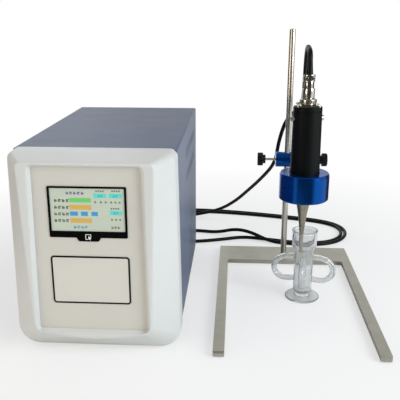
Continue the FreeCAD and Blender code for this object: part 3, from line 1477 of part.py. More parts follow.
def cable_route():
    """Points of the cable, from the transducer's relief to the console's plug."""
    start, heading = boot_end()
    end = Vector(number(console_x + d.socket_x),
                 number(rear_y + d.socket_out + d.rear_plug_length + d.rear_boot_length),
                 number(d.socket_z))
    floor, hump = number(d.cable_radius), number(d.cable_hump)
    rise = [(172, 60, 450), (175, 99, 414), (179, 138, 367), (181, 178, 328), (155, 222, 302),
            (140, 236, 246), (137, 261, 193), (108, 319, 140), (81, 364, 100), (51, 404, 60),
            (14, 434, 28), (-32, 447, 11)]
    small_turn = [(-82, 443), (-124, 431), (-154, 403), (-157, 367), (-130, 340), (-88, 332),
                  (-40, 333), (8, 323)]
    outer_turn = [(132, 267), (184, 255), (236, 253), (282, 271), (310, 309), (318, 355),
                  (303, 397), (266, 425), (216, 443), (166, 457), (113, 471), (60, 483),
                  (6, 492), (-50, 497), (-106, 496), (-162, 485), (-212, 456), (-245, 407),
                  (-252, 347), (-238, 293), (-196, 263), (-140, 253), (-84, 252), (-30, 260),
                  (22, 276)]
    inner_turn = [(70, 296), (124, 283), (180, 266), (234, 263), (276, 279), (301, 313),
                  (308, 355), (295, 391), (261, 416), (213, 433), (163, 447), (111, 461),
                  (58, 472), (4, 480), (-58, 482), (-120, 473)]
    fall = [(-176, 452, 5), (-205, 422, 22), (-211, 390, 58), (-212, 360, 92)]
    points = [start, start + heading * 22]
    points += [Vector(*mark) for mark in rise]
    points += [Vector(x, y, floor) for x, y in small_turn]
    points += [Vector(50, 305, hump), Vector(86, 287, hump)]
    points += [Vector(x, y, floor) for x, y in outer_turn + inner_turn]
    points += [Vector(*mark) for mark in fall]
    points += [end + Vector(0, 24, 0), end]
    return points


def make_transducer_cable():
    """Black cable that rises from the plug, falls behind the stand and lies in two turns."""
    tube, radii = sweep_tube(cable_route(), number(d.cable_radius))
    print("bend radii", [round(radius) for radius in radii])
    cable = doc.addObject("Part::Feature", "Cable")
    cable.Shape = tube
    return node(cable, "transducer_cable")


def main():
    """Build every node, check it and write it."""
    make_front_bezel()
    make_front_panel()
    make_touchscreen_frame()
    make_touchscreen_display()
    make_display_board()
    make_blank_plate_outline()
    make_blank_plate()
    make_cover_shell()
    make_chassis_tray()
    make_rear_panel()
    make_rubber_feet()
    make_cover_screws()
    make_fan_frame()
    make_fan_rotor()
    make_fan_guard()
    make_fan_screws()
    make_output_socket()
    make_rear_coupling_ring()
    make_rear_plug()
    make_mains_inlet()
    make_switch_housing()
    make_power_rocker()
    make_power_board()
    make_board_standoffs()
    make_capacitors()
    make_heat_sink()
    make_transformer_core()
    make_transformer_winding()
    make_base_frame()
    make_base_pads()
    make_stand_rod()
    make_rod_screw()
    make_clamp_block()
    make_thumbscrew("rod_screw", rod_x, -1)
    make_thumbscrew("arm_screw", arm_x, 1)
    make_holder_arm()
    make_holder_ring()
    make_ring_set_screws()
    make_housing()
    make_housing_screws()
    make_housing_cap()
    make_horn()
    make_piezo_rings()
    make_electrode_plates()
    make_back_mass()
    make_preload_bolt()
    make_socket_flange()
    make_socket_screws()
    make_coupling_ring()
    make_plug_body()
    make_gland_nut()
    make_cable_saddle()
    make_saddle_screws()
    make_strain_relief_boot()
    make_cell_body()
    make_loop_arms()
    make_transducer_cable()
    doc.recompute()
    check_and_write()


def check_and_write():
    """Stop on any object that failed, then write one file per node."""
    for thing in doc.Objects:
        if "Invalid" in thing.State or "Error" in thing.State:
            raise RuntimeError(f"{thing.Label} failed: {thing.State}")
    os.makedirs("parts", exist_ok=True)
    for thing in nodes:
        shape = thing.Shape
        if shape.isNull() or not shape.isValid() or shape.Volume <= 0:
            raise RuntimeError(f"{thing.Label} has no valid solid")
        shape.exportStep(f"parts/{thing.Label}.step")
        print(thing.Label, len(shape.Solids), round(shape.Volume))


main()
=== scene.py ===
"""Looks of a bench-top ultrasonic homogenizer set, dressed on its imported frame."""

import json
import logging
import math
from dataclasses import dataclass, field
from enum import Enum
from typing import Sequence

import bmesh
import bpy
from mathutils import Matrix, Vector

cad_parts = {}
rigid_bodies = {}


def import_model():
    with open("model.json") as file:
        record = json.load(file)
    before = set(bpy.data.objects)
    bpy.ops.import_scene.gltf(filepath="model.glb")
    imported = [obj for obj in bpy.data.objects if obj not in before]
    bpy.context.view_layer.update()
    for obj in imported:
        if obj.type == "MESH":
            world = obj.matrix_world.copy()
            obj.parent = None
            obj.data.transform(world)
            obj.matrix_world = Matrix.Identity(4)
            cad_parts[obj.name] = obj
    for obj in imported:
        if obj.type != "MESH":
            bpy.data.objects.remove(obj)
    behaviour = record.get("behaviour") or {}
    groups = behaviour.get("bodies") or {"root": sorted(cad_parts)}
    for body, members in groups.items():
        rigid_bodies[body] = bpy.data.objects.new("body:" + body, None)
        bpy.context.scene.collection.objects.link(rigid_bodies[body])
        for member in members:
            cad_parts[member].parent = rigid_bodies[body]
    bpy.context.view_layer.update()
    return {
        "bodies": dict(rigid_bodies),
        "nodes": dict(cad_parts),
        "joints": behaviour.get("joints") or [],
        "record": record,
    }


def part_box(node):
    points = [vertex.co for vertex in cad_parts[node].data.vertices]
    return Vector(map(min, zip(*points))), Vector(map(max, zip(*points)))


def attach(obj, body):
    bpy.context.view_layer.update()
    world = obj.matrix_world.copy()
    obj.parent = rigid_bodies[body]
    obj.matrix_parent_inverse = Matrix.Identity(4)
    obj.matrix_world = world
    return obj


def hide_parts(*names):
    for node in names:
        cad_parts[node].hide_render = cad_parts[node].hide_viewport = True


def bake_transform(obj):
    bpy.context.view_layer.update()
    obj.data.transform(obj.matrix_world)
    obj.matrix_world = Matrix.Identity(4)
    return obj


LOG = logging.getLogger("homogenizer")
MM = 0.001
Point = tuple[float, float, float]


class Body(Enum):
    """The frame's bodies that pieces ride on."""

    STILL = "console_and_stand"
    CLAMP = "clamp"
    HOLDER = "holder"
    COUPLING = "coupling_ring"
    REAR_RING = "rear_ring"


class Tone(Enum):
    """Colours of the set, as red, green and blue from 0 to 255."""

    BEZEL = (213, 215, 213)
    PANEL = (209, 206, 198)
    PLATE = (214, 211, 203)
    COVER = (96, 107, 130)
    BLACK = (7, 7, 8)
    SOFT_BLACK = (20, 21, 23)
    HOUSING = (9, 10, 11)
    RUBBER = (9, 10, 11)
    NICKEL = (180, 178, 166)
    BRIGHT = (206, 201, 190)
    STEEL = (206, 202, 190)
    TITANIUM = (152, 146, 130)
    BLUE = (8, 78, 160)
    COPPER = (176, 104, 58)
    BRASS = (190, 160, 96)
    BOARD = (20, 84, 52)
    CERAMIC = (222, 216, 200)
    IRON = (66, 66, 70)
    GLASS = (250, 251, 251)
    SCREEN = (193, 202, 186)
    GREEN_BAR = (112, 204, 108)
    ORANGE_BAR = (212, 172, 84)
    BLUE_BAR = (66, 152, 206)
    CYAN_BOX = (96, 214, 200)
    PURPLE_INK = (96, 60, 150)
    DARK_INK = (44, 52, 50)
    WHITE_INK = (232, 234, 232)

    def linear(self) -> tuple[float, float, float, float]:
        """The colour in linear light with full alpha."""
        parts = [channel / 255 for channel in self.value]
        low = [c / 12.92 if c <= 0.04045 else ((c + 0.055) / 1.055) ** 2.4 for c in parts]
        return low[0], low[1], low[2], 1.0


def shaded(colour: Sequence[float], share: float) -> tuple[float, float, float, float]:
    """A linear colour made lighter or darker by a share."""
    return tuple(min(1.0, channel * share) for channel in colour[:3]) + (1.0,)


class Graph:
    """A node tree whose sockets take a link or a value."""

    def __init__(self, tree: bpy.types.NodeTree) -> None:
        """Keep the tree.

        Args:
            tree: the tree that nodes are added to.
        """
        self.tree = tree

    def fill(self, socket: bpy.types.NodeSocket, value: object) -> None:
        """Link or set one socket."""
        if isinstance(value, bpy.types.NodeSocket):
            self.tree.links.new(value, socket)
        else:
            socket.default_value = value

    def node(self, kind: str, settings: dict[str, object] | None = None,
             **inputs: object) -> bpy.types.Node:
        """Add a node.

        Args:
            kind: the node's type.
            settings: the node's own settings.
            inputs: values or links of its sockets; an underscore stands for a space.

        Returns:
            The new node.
        """
        made = self.tree.nodes.new(kind)
        for name, value in (settings or {}).items():
            setattr(made, name, value)
        for name, value in inputs.items():
            self.fill(made.inputs[name.replace("_", " ")], value)
        return made

    def step(self, operation: str, first: object, second: object) -> bpy.types.NodeSocket:
        """One step of arithmetic."""
        made = self.node("ShaderNodeMath", {"operation": operation})
        self.fill(made.inputs[0], first)
        self.fill(made.inputs[1], second)
        return made.outputs[0]


class Paint(Graph):
    """One material and the nodes round its surface shader."""

    def __init__(self, name: str) -> None:
        """Start a material with a bare surface shader.

        Args:
            name: name of the material.
        """
        self.material = bpy.data.materials.new(name)
        self.material.use_nodes = True
        super().__init__(self.material.node_tree)
        self.shader = self.tree.nodes["Principled BSDF"]
        self.place = self.tree.nodes.new("ShaderNodeTexCoord").outputs["Object"]

    def set(self, **values: object) -> None:
        """Set the shader's own sockets; an underscore stands for a space."""
        for name, value in values.items():
            self.shader.inputs[name.replace("_", " ")].default_value = value

    def noise(self, scale: float, detail: float = 3,
              stretch: Point = (1, 1, 1)) -> bpy.types.NodeSocket:
        """Noise value over the surface."""
        spot = self.node("ShaderNodeMapping", Vector=self.place, Scale=stretch)
        return self.node("ShaderNodeTexNoise", Vector=spot.outputs["Vector"], Scale=scale,
                         Detail=detail, Roughness=0.55).outputs["Fac"]

    def band(self, value: bpy.types.NodeSocket, low: float, high: float, start: float = 0.3,
             end: float = 0.7) -> bpy.types.NodeSocket:
        """A value carried from one range to another."""
        return self.node("ShaderNodeMapRange", Value=value, From_Min=start, From_Max=end,
                         To_Min=low, To_Max=high).outputs["Result"]

    def mixed(self, share: bpy.types.NodeSocket, first: object,
              second: object) -> bpy.types.NodeSocket:
        """Two colours mixed by a share."""
        made = self.node("ShaderNodeMix", {"data_type": "RGBA"}, Factor=share)
        colours = [socket for socket in made.inputs if socket.type == "RGBA"]
        for socket, value in zip(colours, (first, second)):
            self.fill(socket, value)
        return [socket for socket in made.outputs if socket.type == "RGBA"][0]

    def feed(self, name: str, value: bpy.types.NodeSocket) -> None:
        """Link a varying value to one of the shader's sockets."""
        self.tree.links.new(value, self.shader.inputs[name])

    def tint(self, share: bpy.types.NodeSocket, colour: Sequence[float], low: float,
             high: float) -> None:
        """Vary the base colour between two shades of it."""
        self.feed("Base Color", self.mixed(share, shaded(colour, low), shaded(colour, high)))

    def bump(self, height: bpy.types.NodeSocket, depth: float, strength: float) -> None:
        """Relief from a height value, its depth in metres."""
        made = self.node("ShaderNodeBump", Height=height, Distance=depth, Strength=strength)
        self.feed("Normal", made.outputs["Normal"])

    def layered(self, share: bpy.types.NodeSocket, under: bpy.types.NodeSocket,
                over: bpy.types.NodeSocket) -> bpy.types.NodeSocket:
        """Two shaders mixed by a share."""
        made = self.node("ShaderNodeMixShader", Fac=share)
        self.fill(made.inputs[1], under)
        self.fill(made.inputs[2], over)
        return made.outputs["Shader"]


@dataclass(frozen=True)
class Finish:
    """A surface: its name, its colour and the shader that covers it."""

    name: str
    tone: Tone

    def make(self) -> bpy.types.Material:
        """Build the material."""
        paint = Paint(self.name)
        self.cover(paint, self.tone.linear())
        return paint.material

    def cover(self, paint: Paint, colour: Sequence[float]) -> None:
        """Set up the shader.

        Args:
            paint: the material that is being built.
            colour: its colour in linear light.
        """
        raise NotImplementedError


@dataclass(frozen=True)
class MouldedPlastic(Finish):
    """Moulded plastic with a fine grain and slow changes of tone."""

    roughness: float = 0.42
    grain: float = 1400
    depth: float = 0.00005
    spread: float = 0.03

    def cover(self, paint: Paint, colour: Sequence[float]) -> None:
        """Set up the shader."""
        slow = paint.band(paint.noise(9, 3), 0, 1)
        paint.tint(slow, colour, 1 - self.spread, 1 + self.spread)
        wear = paint.noise(55, 4)
        paint.feed("Roughness", paint.band(wear, self.roughness - 0.05, self.roughness + 0.06))
        paint.bump(paint.noise(self.grain, 2), self.depth, 0.35)


@dataclass(frozen=True)
class Enamel(Finish):
    """Sprayed enamel: a soft orange peel under a semi-gloss skin."""

    roughness: float = 0.3
    coat: float = 0.3
    peel: float = 420
    depth: float = 0.00008
    smear: float = 0.08
    gloss: float = 0.5

    def cover(self, paint: Paint, colour: Sequence[float]) -> None:
        """Set up the shader."""
        slow = paint.band(paint.noise(5, 4), 0, 1)
        paint.tint(slow, colour, 0.97, 1.03)
        smudge = paint.noise(16, 5, (1, 1.6, 0.7))
        paint.feed("Roughness", paint.band(smudge, self.roughness - self.smear / 2,
                                           self.roughness + self.smear))
        paint.set(Coat_Weight=self.coat, Coat_Roughness=0.12, Specular_IOR_Level=self.gloss)
        paint.bump(paint.noise(self.peel, 2), self.depth, 0.3)


class Grain(Enum):
    """Direction of a metal's polishing lines."""

    ALONG_X = (0.03, 1, 1)
    ALONG_Y = (1, 0.03, 1)
    ROUND_Z = (0.02, 0.02, 1)
    ROUND_X = (1, 0.02, 0.02)
    ROUND_Y = (0.02, 1, 0.02)
    NONE = (1, 1, 1)


@dataclass(frozen=True)
class WorkedMetal(Finish):
    """Bare or plated metal with polishing or turning lines and slight stains."""

    roughness: float = 0.32
    lines: Grain = Grain.NONE
    line_scale: float = 1500
    depth: float = 0.00003
    stain: float = 0.07
    metallic: float = 1.0
    streak: float = 0.22
    gloss: float = 0.5

    def cover(self, paint: Paint, colour: Sequence[float]) -> None:
        """Set up the shader."""
        stained = paint.band(paint.noise(34, 5), 0, 1)
        streak = paint.noise(self.line_scale, 2, self.lines.value)
        tint = paint.mixed(stained, shaded(colour, 1 - self.stain), shaded(colour, 1 + self.stain))
        fine = paint.band(streak, 0, self.streak)
        paint.feed("Base Color", paint.mixed(fine, tint, shaded(colour, 0.72)))
        paint.feed("Roughness", paint.band(streak, self.roughness - 0.07, self.roughness + 0.1))
        paint.set(Metallic=self.metallic, Specular_IOR_Level=self.gloss)
        paint.bump(streak, self.depth, 0.35)


@dataclass(frozen=True)
class SmoothMetal(Finish):
    """Anodised or polished metal: a smooth skin whose gloss changes slowly."""

    roughness: float = 0.2

    def cover(self, paint: Paint, colour: Sequence[float]) -> None:
        """Set up the shader."""
        slow = paint.band(paint.noise(22, 4), 0, 1)
        paint.tint(slow, colour, 0.95, 1.05)
        paint.feed("Roughness", paint.band(slow, self.roughness - 0.03, self.roughness + 0.04,
                                           0, 1))
        paint.set(Metallic=0.92)


@dataclass(frozen=True)
class ClearGlass(Finish):
    """Blown borosilicate with faint waves and a milky bloom."""

    roughness: float = 0.015
    wave: float = 70
    depth: float = 0.0004
    clear: float = 0.9

    def cover(self, paint: Paint, colour: Sequence[float]) -> None:
        """Set up the shader."""
        paint.set(Base_Color=colour, Roughness=self.roughness, IOR=1.47,
                  Transmission_Weight=self.clear, Specular_IOR_Level=0.6)
        paint.bump(paint.noise(self.wave, 2, (1, 1, 0.4)), self.depth, 0.25)


@dataclass(frozen=True)
class GlossyPlastic(Finish):
    """Gloss plastic or cover glass with a trace of dust and finger marks."""

    roughness: float = 0.12
    marks: float = 24
    sheen: float = 0.25

    def cover(self, paint: Paint, colour: Sequence[float]) -> None:
        """Set up the shader."""
        marks = paint.noise(self.marks, 5)
        paint.feed("Roughness", paint.band(marks, self.roughness * 0.7, self.roughness * 1.9))
        dust = paint.band(paint.noise(900, 2), 0, 0.05, 0.55, 0.8)
        paint.feed("Base Color", paint.mixed(dust, colour, (0.3, 0.3, 0.3, 1)))
        paint.set(Specular_IOR_Level=self.sheen)


@dataclass(frozen=True)
class LitInk(Finish):
    """A patch of the lit display, or a printed sign with a painted glow: even colour, faint pixel
    rows and a low glow.
    """

    glow: float = 0.06

    def cover(self, paint: Paint, colour: Sequence[float]) -> None:
        """Set up the shader."""
        rows = paint.band(paint.noise(2600, 1, (0.02, 0.02, 1)), 0, 1)
        paint.tint(rows, colour, 0.96, 1.04)
        paint.set(Roughness=0.35, Emission_Color=colour, Emission_Strength=self.glow)


@dataclass(frozen=True)
class RubberSkin(Finish):
    """Matt rubber or cable jacket with a dusty bloom."""

    roughness: float = 0.55
    grain: float = 1100
    depth: float = 0.00006
    gloss: float = 0.16

    def cover(self, paint: Paint, colour: Sequence[float]) -> None:
        """Set up the shader."""
        bloom = paint.band(paint.noise(48, 5), 0, 1, 0.35, 0.75)
        paint.tint(bloom, colour, 1, 1.5)
        paint.feed("Roughness", paint.band(paint.noise(70, 4), self.roughness - 0.08,
                                           self.roughness + 0.1))
        paint.set(Specular_IOR_Level=self.gloss)
        paint.bump(paint.noise(self.grain, 3), self.depth, 0.4)


BEZEL = MouldedPlastic("bezel_plastic", Tone.BEZEL, 0.38)
PANEL = Enamel("panel_enamel", Tone.PANEL, 0.45, 0.05)
PLATE = Enamel("plate_enamel", Tone.PLATE, 0.38, 0.1, 700)
COVER = Enamel("cover_enamel", Tone.COVER, 0.4, 0.0, 420, 0.00002, 0.03, 0.12)
SCREEN_GLASS = GlossyPlastic("screen_frame_gloss", Tone.BLACK, 0.1)
BLACK_LINE = GlossyPlastic("plate_line_gloss", Tone.BLACK, 0.3)
KNOB_GLOSS = GlossyPlastic("knob_gloss", Tone.BLACK, 0.22, 60)
BLACK_PLASTIC = MouldedPlastic("black_plastic", Tone.SOFT_BLACK, 0.5, 900)
ZINC = WorkedMetal("zinc_sheet", Tone.STEEL, 0.42, Grain.NONE, 260)
NICKEL = WorkedMetal("satin_nickel", Tone.NICKEL, 0.36, Grain.ALONG_X, 2200)
NICKEL_ROUND = WorkedMetal("turned_nickel", Tone.BRIGHT, 0.14, Grain.ROUND_Z, 2600,
                           0.00001, 0.04, streak=0.08)
SCREW_STEEL = WorkedMetal("screw_steel", Tone.STEEL, 0.2, Grain.NONE, 900)
ROD_STEEL = SmoothMetal("rod_steel", Tone.BRIGHT, 0.26)
ARM_STEEL = WorkedMetal("arm_steel", Tone.BRIGHT, 0.16, Grain.ROUND_Y, 1800, streak=0.08)
STUD_STEEL = WorkedMetal("stud_steel", Tone.STEEL, 0.24, Grain.ROUND_X, 1600)
BLUE_BLOCK = SmoothMetal("blue_block", Tone.BLUE, 0.26)
BLUE_RING = SmoothMetal("blue_ring", Tone.BLUE, 0.2)
BLACK_TURNED = WorkedMetal("black_housing", Tone.HOUSING, 0.45, Grain.ROUND_Z, 1700, 0.00002,
                           0.12, 0.0, gloss=0.14)
TITANIUM = WorkedMetal("horn_titanium", Tone.TITANIUM, 0.2, Grain.ROUND_Z, 2200, 0.00001,
                       streak=0.1)
CERAMIC = MouldedPlastic("fired_ceramic", Tone.CERAMIC, 0.6)
BRASS = WorkedMetal("plain_brass", Tone.BRASS, 0.3)
COPPER = WorkedMetal("wound_copper", Tone.COPPER, 0.4, Grain.ALONG_X, 900)
IRON = WorkedMetal("core_iron", Tone.IRON, 0.6, Grain.ALONG_X, 700, metallic=0.6)
ALLOY = WorkedMetal("sink_alloy", Tone.STEEL, 0.4, Grain.ALONG_Y, 1200)
BOARD = Enamel("board_green", Tone.BOARD, 0.4, 0.2, 900)
GLASS = ClearGlass("clear_glass", Tone.GLASS)
FEET = RubberSkin("foot_rubber", Tone.RUBBER, 0.7)
BOOT = RubberSkin("boot_rubber", Tone.RUBBER, 0.4, 500, 0.00001, 0.2)
JACKET = RubberSkin("cable_jacket", Tone.RUBBER, 0.38, 700)


def placed(name: str, data: bpy.types.ID) -> bpy.types.Object:
    """A new object in the scene."""
    thing = bpy.data.objects.new(name, data)
    bpy.context.scene.collection.objects.link(thing)
    return thing


class Workshop:
    """The loaded frame with its finishes, and the ways to add pieces to it."""

    def __init__(self, frame: dict) -> None:
        """Keep the frame.

        Args:
            frame: what the frame loader returned.
        """
        self.nodes: dict[str, bpy.types.Object] = frame["nodes"]
        self.made: dict[str, bpy.types.Material] = {}

    def material(self, finish: Finish) -> bpy.types.Material:
        """The material of a finish, built on first use."""
        if finish.name not in self.made:
            self.made[finish.name] = finish.make()
        return self.made[finish.name]

    def dress(self, finish: Finish, *names: str, round_off: float = 0.0) -> None:
        """Give CAD nodes a finish.

        Args:
            finish: the finish.
            names: the nodes.
            round_off: width of a small bevel on their hard edges, in metres.
        """
        for name in names:
            thing = self.nodes[name]
            for slot in thing.material_slots:
                slot.material = self.material(finish)
            if round_off > 0:
                weld = thing.modifiers.new("weld", "WELD")
                weld.merge_threshold = 1e-6
                bevel = thing.modifiers.new("edges", "BEVEL")
                bevel.width = round_off
                bevel.segments = 2
                bevel.limit_method = "ANGLE"
                bevel.angle_limit = math.radians(35)
                bevel.harden_normals = True
            LOG.info("dressed %s with %s", name, finish.name)

    def add(self, name: str, mesh: bpy.types.Mesh, finish: Finish | None, body: Body | None,
            slot: str, replaces: Sequence[str] = ()) -> bpy.types.Object:
        """Add a finished piece at the origin.

        Args:
            name: the piece's name.
            mesh: its mesh, placed in the frame.
            finish: its finish, or None when the mesh has its materials.
            body: the body that it rides on, or None when it rides on none.
            slot: the record's material slot; not used.
            replaces: CAD nodes that it stands for.

        Returns:
            The new object.
        """
        piece = placed(name, mesh)
        if finish is not None:
            mesh.materials.clear()
            mesh.materials.append(self.material(finish))
        if body is not None:
            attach(piece, body.value)
        if replaces:
            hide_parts(*replaces)
        LOG.info("made %s with %d faces", name, len(mesh.polygons))
        return piece

    def fit(self, group: "ScrewSet | Knurl", finish: Finish, body: Body, slot: str,
            *replaces: str) -> None:
        """Build and add a set of repeated parts under its own name."""
        self.add(group.name, group.build(self.material(finish)), None, body, slot, replaces)


AXES = {"z": Matrix.Identity(3), "x": Matrix.Rotation(math.pi / 2, 3, "Y"),
        "y": Matrix.Rotation(-math.pi / 2, 3, "X")}


def corners(node: str) -> tuple[Vector, Vector]:
    """Lowest and highest corner of a CAD node."""
    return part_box(node)


def mesh_of(shape: bmesh.types.BMesh, name: str, smooth: float = 40) -> bpy.types.Mesh:
    """Turn an edited mesh into a plain mesh.

    Args:
        shape: the edited mesh, freed here.
        name: the mesh's name.
        smooth: edges under this angle in degrees are shaded smooth.

    Returns:
        The mesh, with its faces outwards.
    """
    bmesh.ops.remove_doubles(shape, verts=shape.verts, dist=1e-7)
    bmesh.ops.recalc_face_normals(shape, faces=shape.faces)
    limit = math.radians(smooth)
    for face in shape.faces:
        face.smooth = True
    for edge in shape.edges:
        edge.smooth = len(edge.link_faces) == 2 and edge.calc_face_angle(0) < limit
    mesh = bpy.data.meshes.new(name)
    shape.to_mesh(mesh)
    shape.free()
    return mesh


def wall(shape: bmesh.types.BMesh, first: Sequence[bmesh.types.BMVert],
         second: Sequence[bmesh.types.BMVert]) -> None:
    """Faces between two closed rings of corners."""
    count = len(first)
    for index in range(count):
        after = (index + 1) % count
        shape.faces.new((first[index], first[after], second[after], second[index]))


def ring(middle: Vector, aside: Vector, ahead: Vector, radius: float,
         sides: int) -> list[Vector]:
    """Points evenly spread round a circle in the plane of two directions."""
    return [middle + (aside * math.cos(math.tau * k / sides)
                      + ahead * math.sin(math.tau * k / sides)) * radius for k in range(sides)]


def slab(shape: bmesh.types.BMesh, low: Vector, high: Vector) -> None:
    """Add a box between two corners."""
    made = bmesh.ops.create_cube(shape, size=1)
    bmesh.ops.scale(shape, vec=high - low, verts=made["verts"])
    bmesh.ops.translate(shape, vec=(low + high) / 2, verts=made["verts"])


def loft(loops: Sequence[Sequence[Vector]], name: str, closed: bool = False,
         caps: bool = False, smooth: float = 40) -> bpy.types.Mesh:
    """A skin through loops with equal numbers of points.

    Args:
        loops: the loops, each a closed ring of points.
        name: the mesh's name.
        closed: whether the last loop joins the first.
        caps: whether the two end loops are filled.
        smooth: smoothing angle in degrees.

    Returns:
        The mesh.
    """
    shape = bmesh.new()
    rings = [[shape.verts.new(point) for point in loop] for loop in loops]
    pairs = list(zip(rings, rings[1:]))
    if closed:
        pairs.append((rings[-1], rings[0]))
    for first, second in pairs:
        wall(shape, first, second)
    if caps:
        shape.faces.new(rings[0])
        shape.faces.new(rings[-1])
    return mesh_of(shape, name, smooth)


def bezier(first: Vector, second: Vector, third: Vector, fourth: Vector,
           count: int) -> list[Vector]:
    """Points of a cubic curve, its end left out."""
    points = []
    for index in range(count):
        t = index / count
        s = 1 - t
        points.append(first * s ** 3 + second * 3 * s * s * t + third * 3 * s * t * t
                      + fourth * t ** 3)
    return points


def softened(points: Sequence[Vector], radii: Sequence[float], steps: int,
             side: int) -> list[Vector]:
    """A flat outline with rounded corners and evenly divided sides.

    Args:
        points: the corners, anticlockwise.
        radii: one radius a corner.
        steps: points on each corner.
        side: points on each side.

    Returns:
        The outline's points.
    """
    outline: list[Vector] = []
    count = len(points)
    for index, corner in enumerate(points):
        before = (points[index - 1] - corner).normalized()
        after = (points[(index + 1) % count] - corner).normalized()
        radius = radii[index]
        start, end = corner + before * radius, corner + after * radius
        outline += bezier(start, start - before * radius * 0.5523, end - after * radius * 0.5523,
                          end, steps)
        far = points[(index + 1) % count]
        reach = far - after * radii[(index + 1) % count]
        outline += [end + (reach - end) * part / side for part in range(side)]
    return outline


class Recipe(Graph):
    """A Geometry Nodes tree built step by step, with named inputs."""

    def __init__(self, name: str) -> None:
        """Start a tree.

        Args:
            name: name of the tree.
        """
        super().__init__(bpy.data.node_groups.new(name, "GeometryNodeTree"))
        for way in ("INPUT", "OUTPUT"):
            self.tree.interface.new_socket("Geometry", in_out=way,
                                           socket_type="NodeSocketGeometry")
        self.values: dict[str, object] = {}
        self.start = self.tree.nodes.new("NodeGroupInput")
        self.end = self.tree.nodes.new("NodeGroupOutput")

    def ask(self, name: str, kind: str, value: object) -> bpy.types.NodeSocket:
        """Add a named input.

        Args:
            name: the input's name.
            kind: Float, Int, Object or Material.
            value: what the modifier gives it.

        Returns:
            The socket inside the tree.
        """
        made = self.tree.interface.new_socket(name, in_out="INPUT",
                                              socket_type="NodeSocket" + kind)
        self.values[made.identifier] = value
        return self.start.outputs[name]

    def finish(self, geometry: bpy.types.NodeSocket, material: bpy.types.Material) -> None:
        """End the tree in Realize Instances and Set Material."""
        real = self.node("GeometryNodeRealizeInstances", Geometry=geometry)
        painted = self.node("GeometryNodeSetMaterial", Geometry=real.outputs["Geometry"],
                            Material=self.ask("Finish", "Material", material))
        self.tree.links.new(painted.outputs["Geometry"], self.end.inputs["Geometry"])

    def bake(self, source: bpy.types.Mesh, name: str) -> bpy.types.Mesh:
        """Run the tree on a mesh and keep the result as a plain mesh.

        Args:
            source: the mesh that the tree starts from.
            name: name of the result.

        Returns:
            The plain mesh.
        """
        holder = placed(name + "_recipe", source)
        modifier = holder.modifiers.new("recipe", "NODES")
        modifier.node_group = self.tree
        for identifier, value in self.values.items():
            modifier[identifier] = value
        graph = bpy.context.evaluated_depsgraph_get()
        mesh = bpy.data.meshes.new_from_object(holder.evaluated_get(graph), depsgraph=graph,
                                               preserve_all_data_layers=False)
        mesh.name = name
        holder.modifiers.remove(modifier)
        bpy.data.objects.remove(holder)
        return mesh


class Drive(Enum):
    """Recess in a screw's head."""

    CROSS = "cross"
    SLOT = "slot"


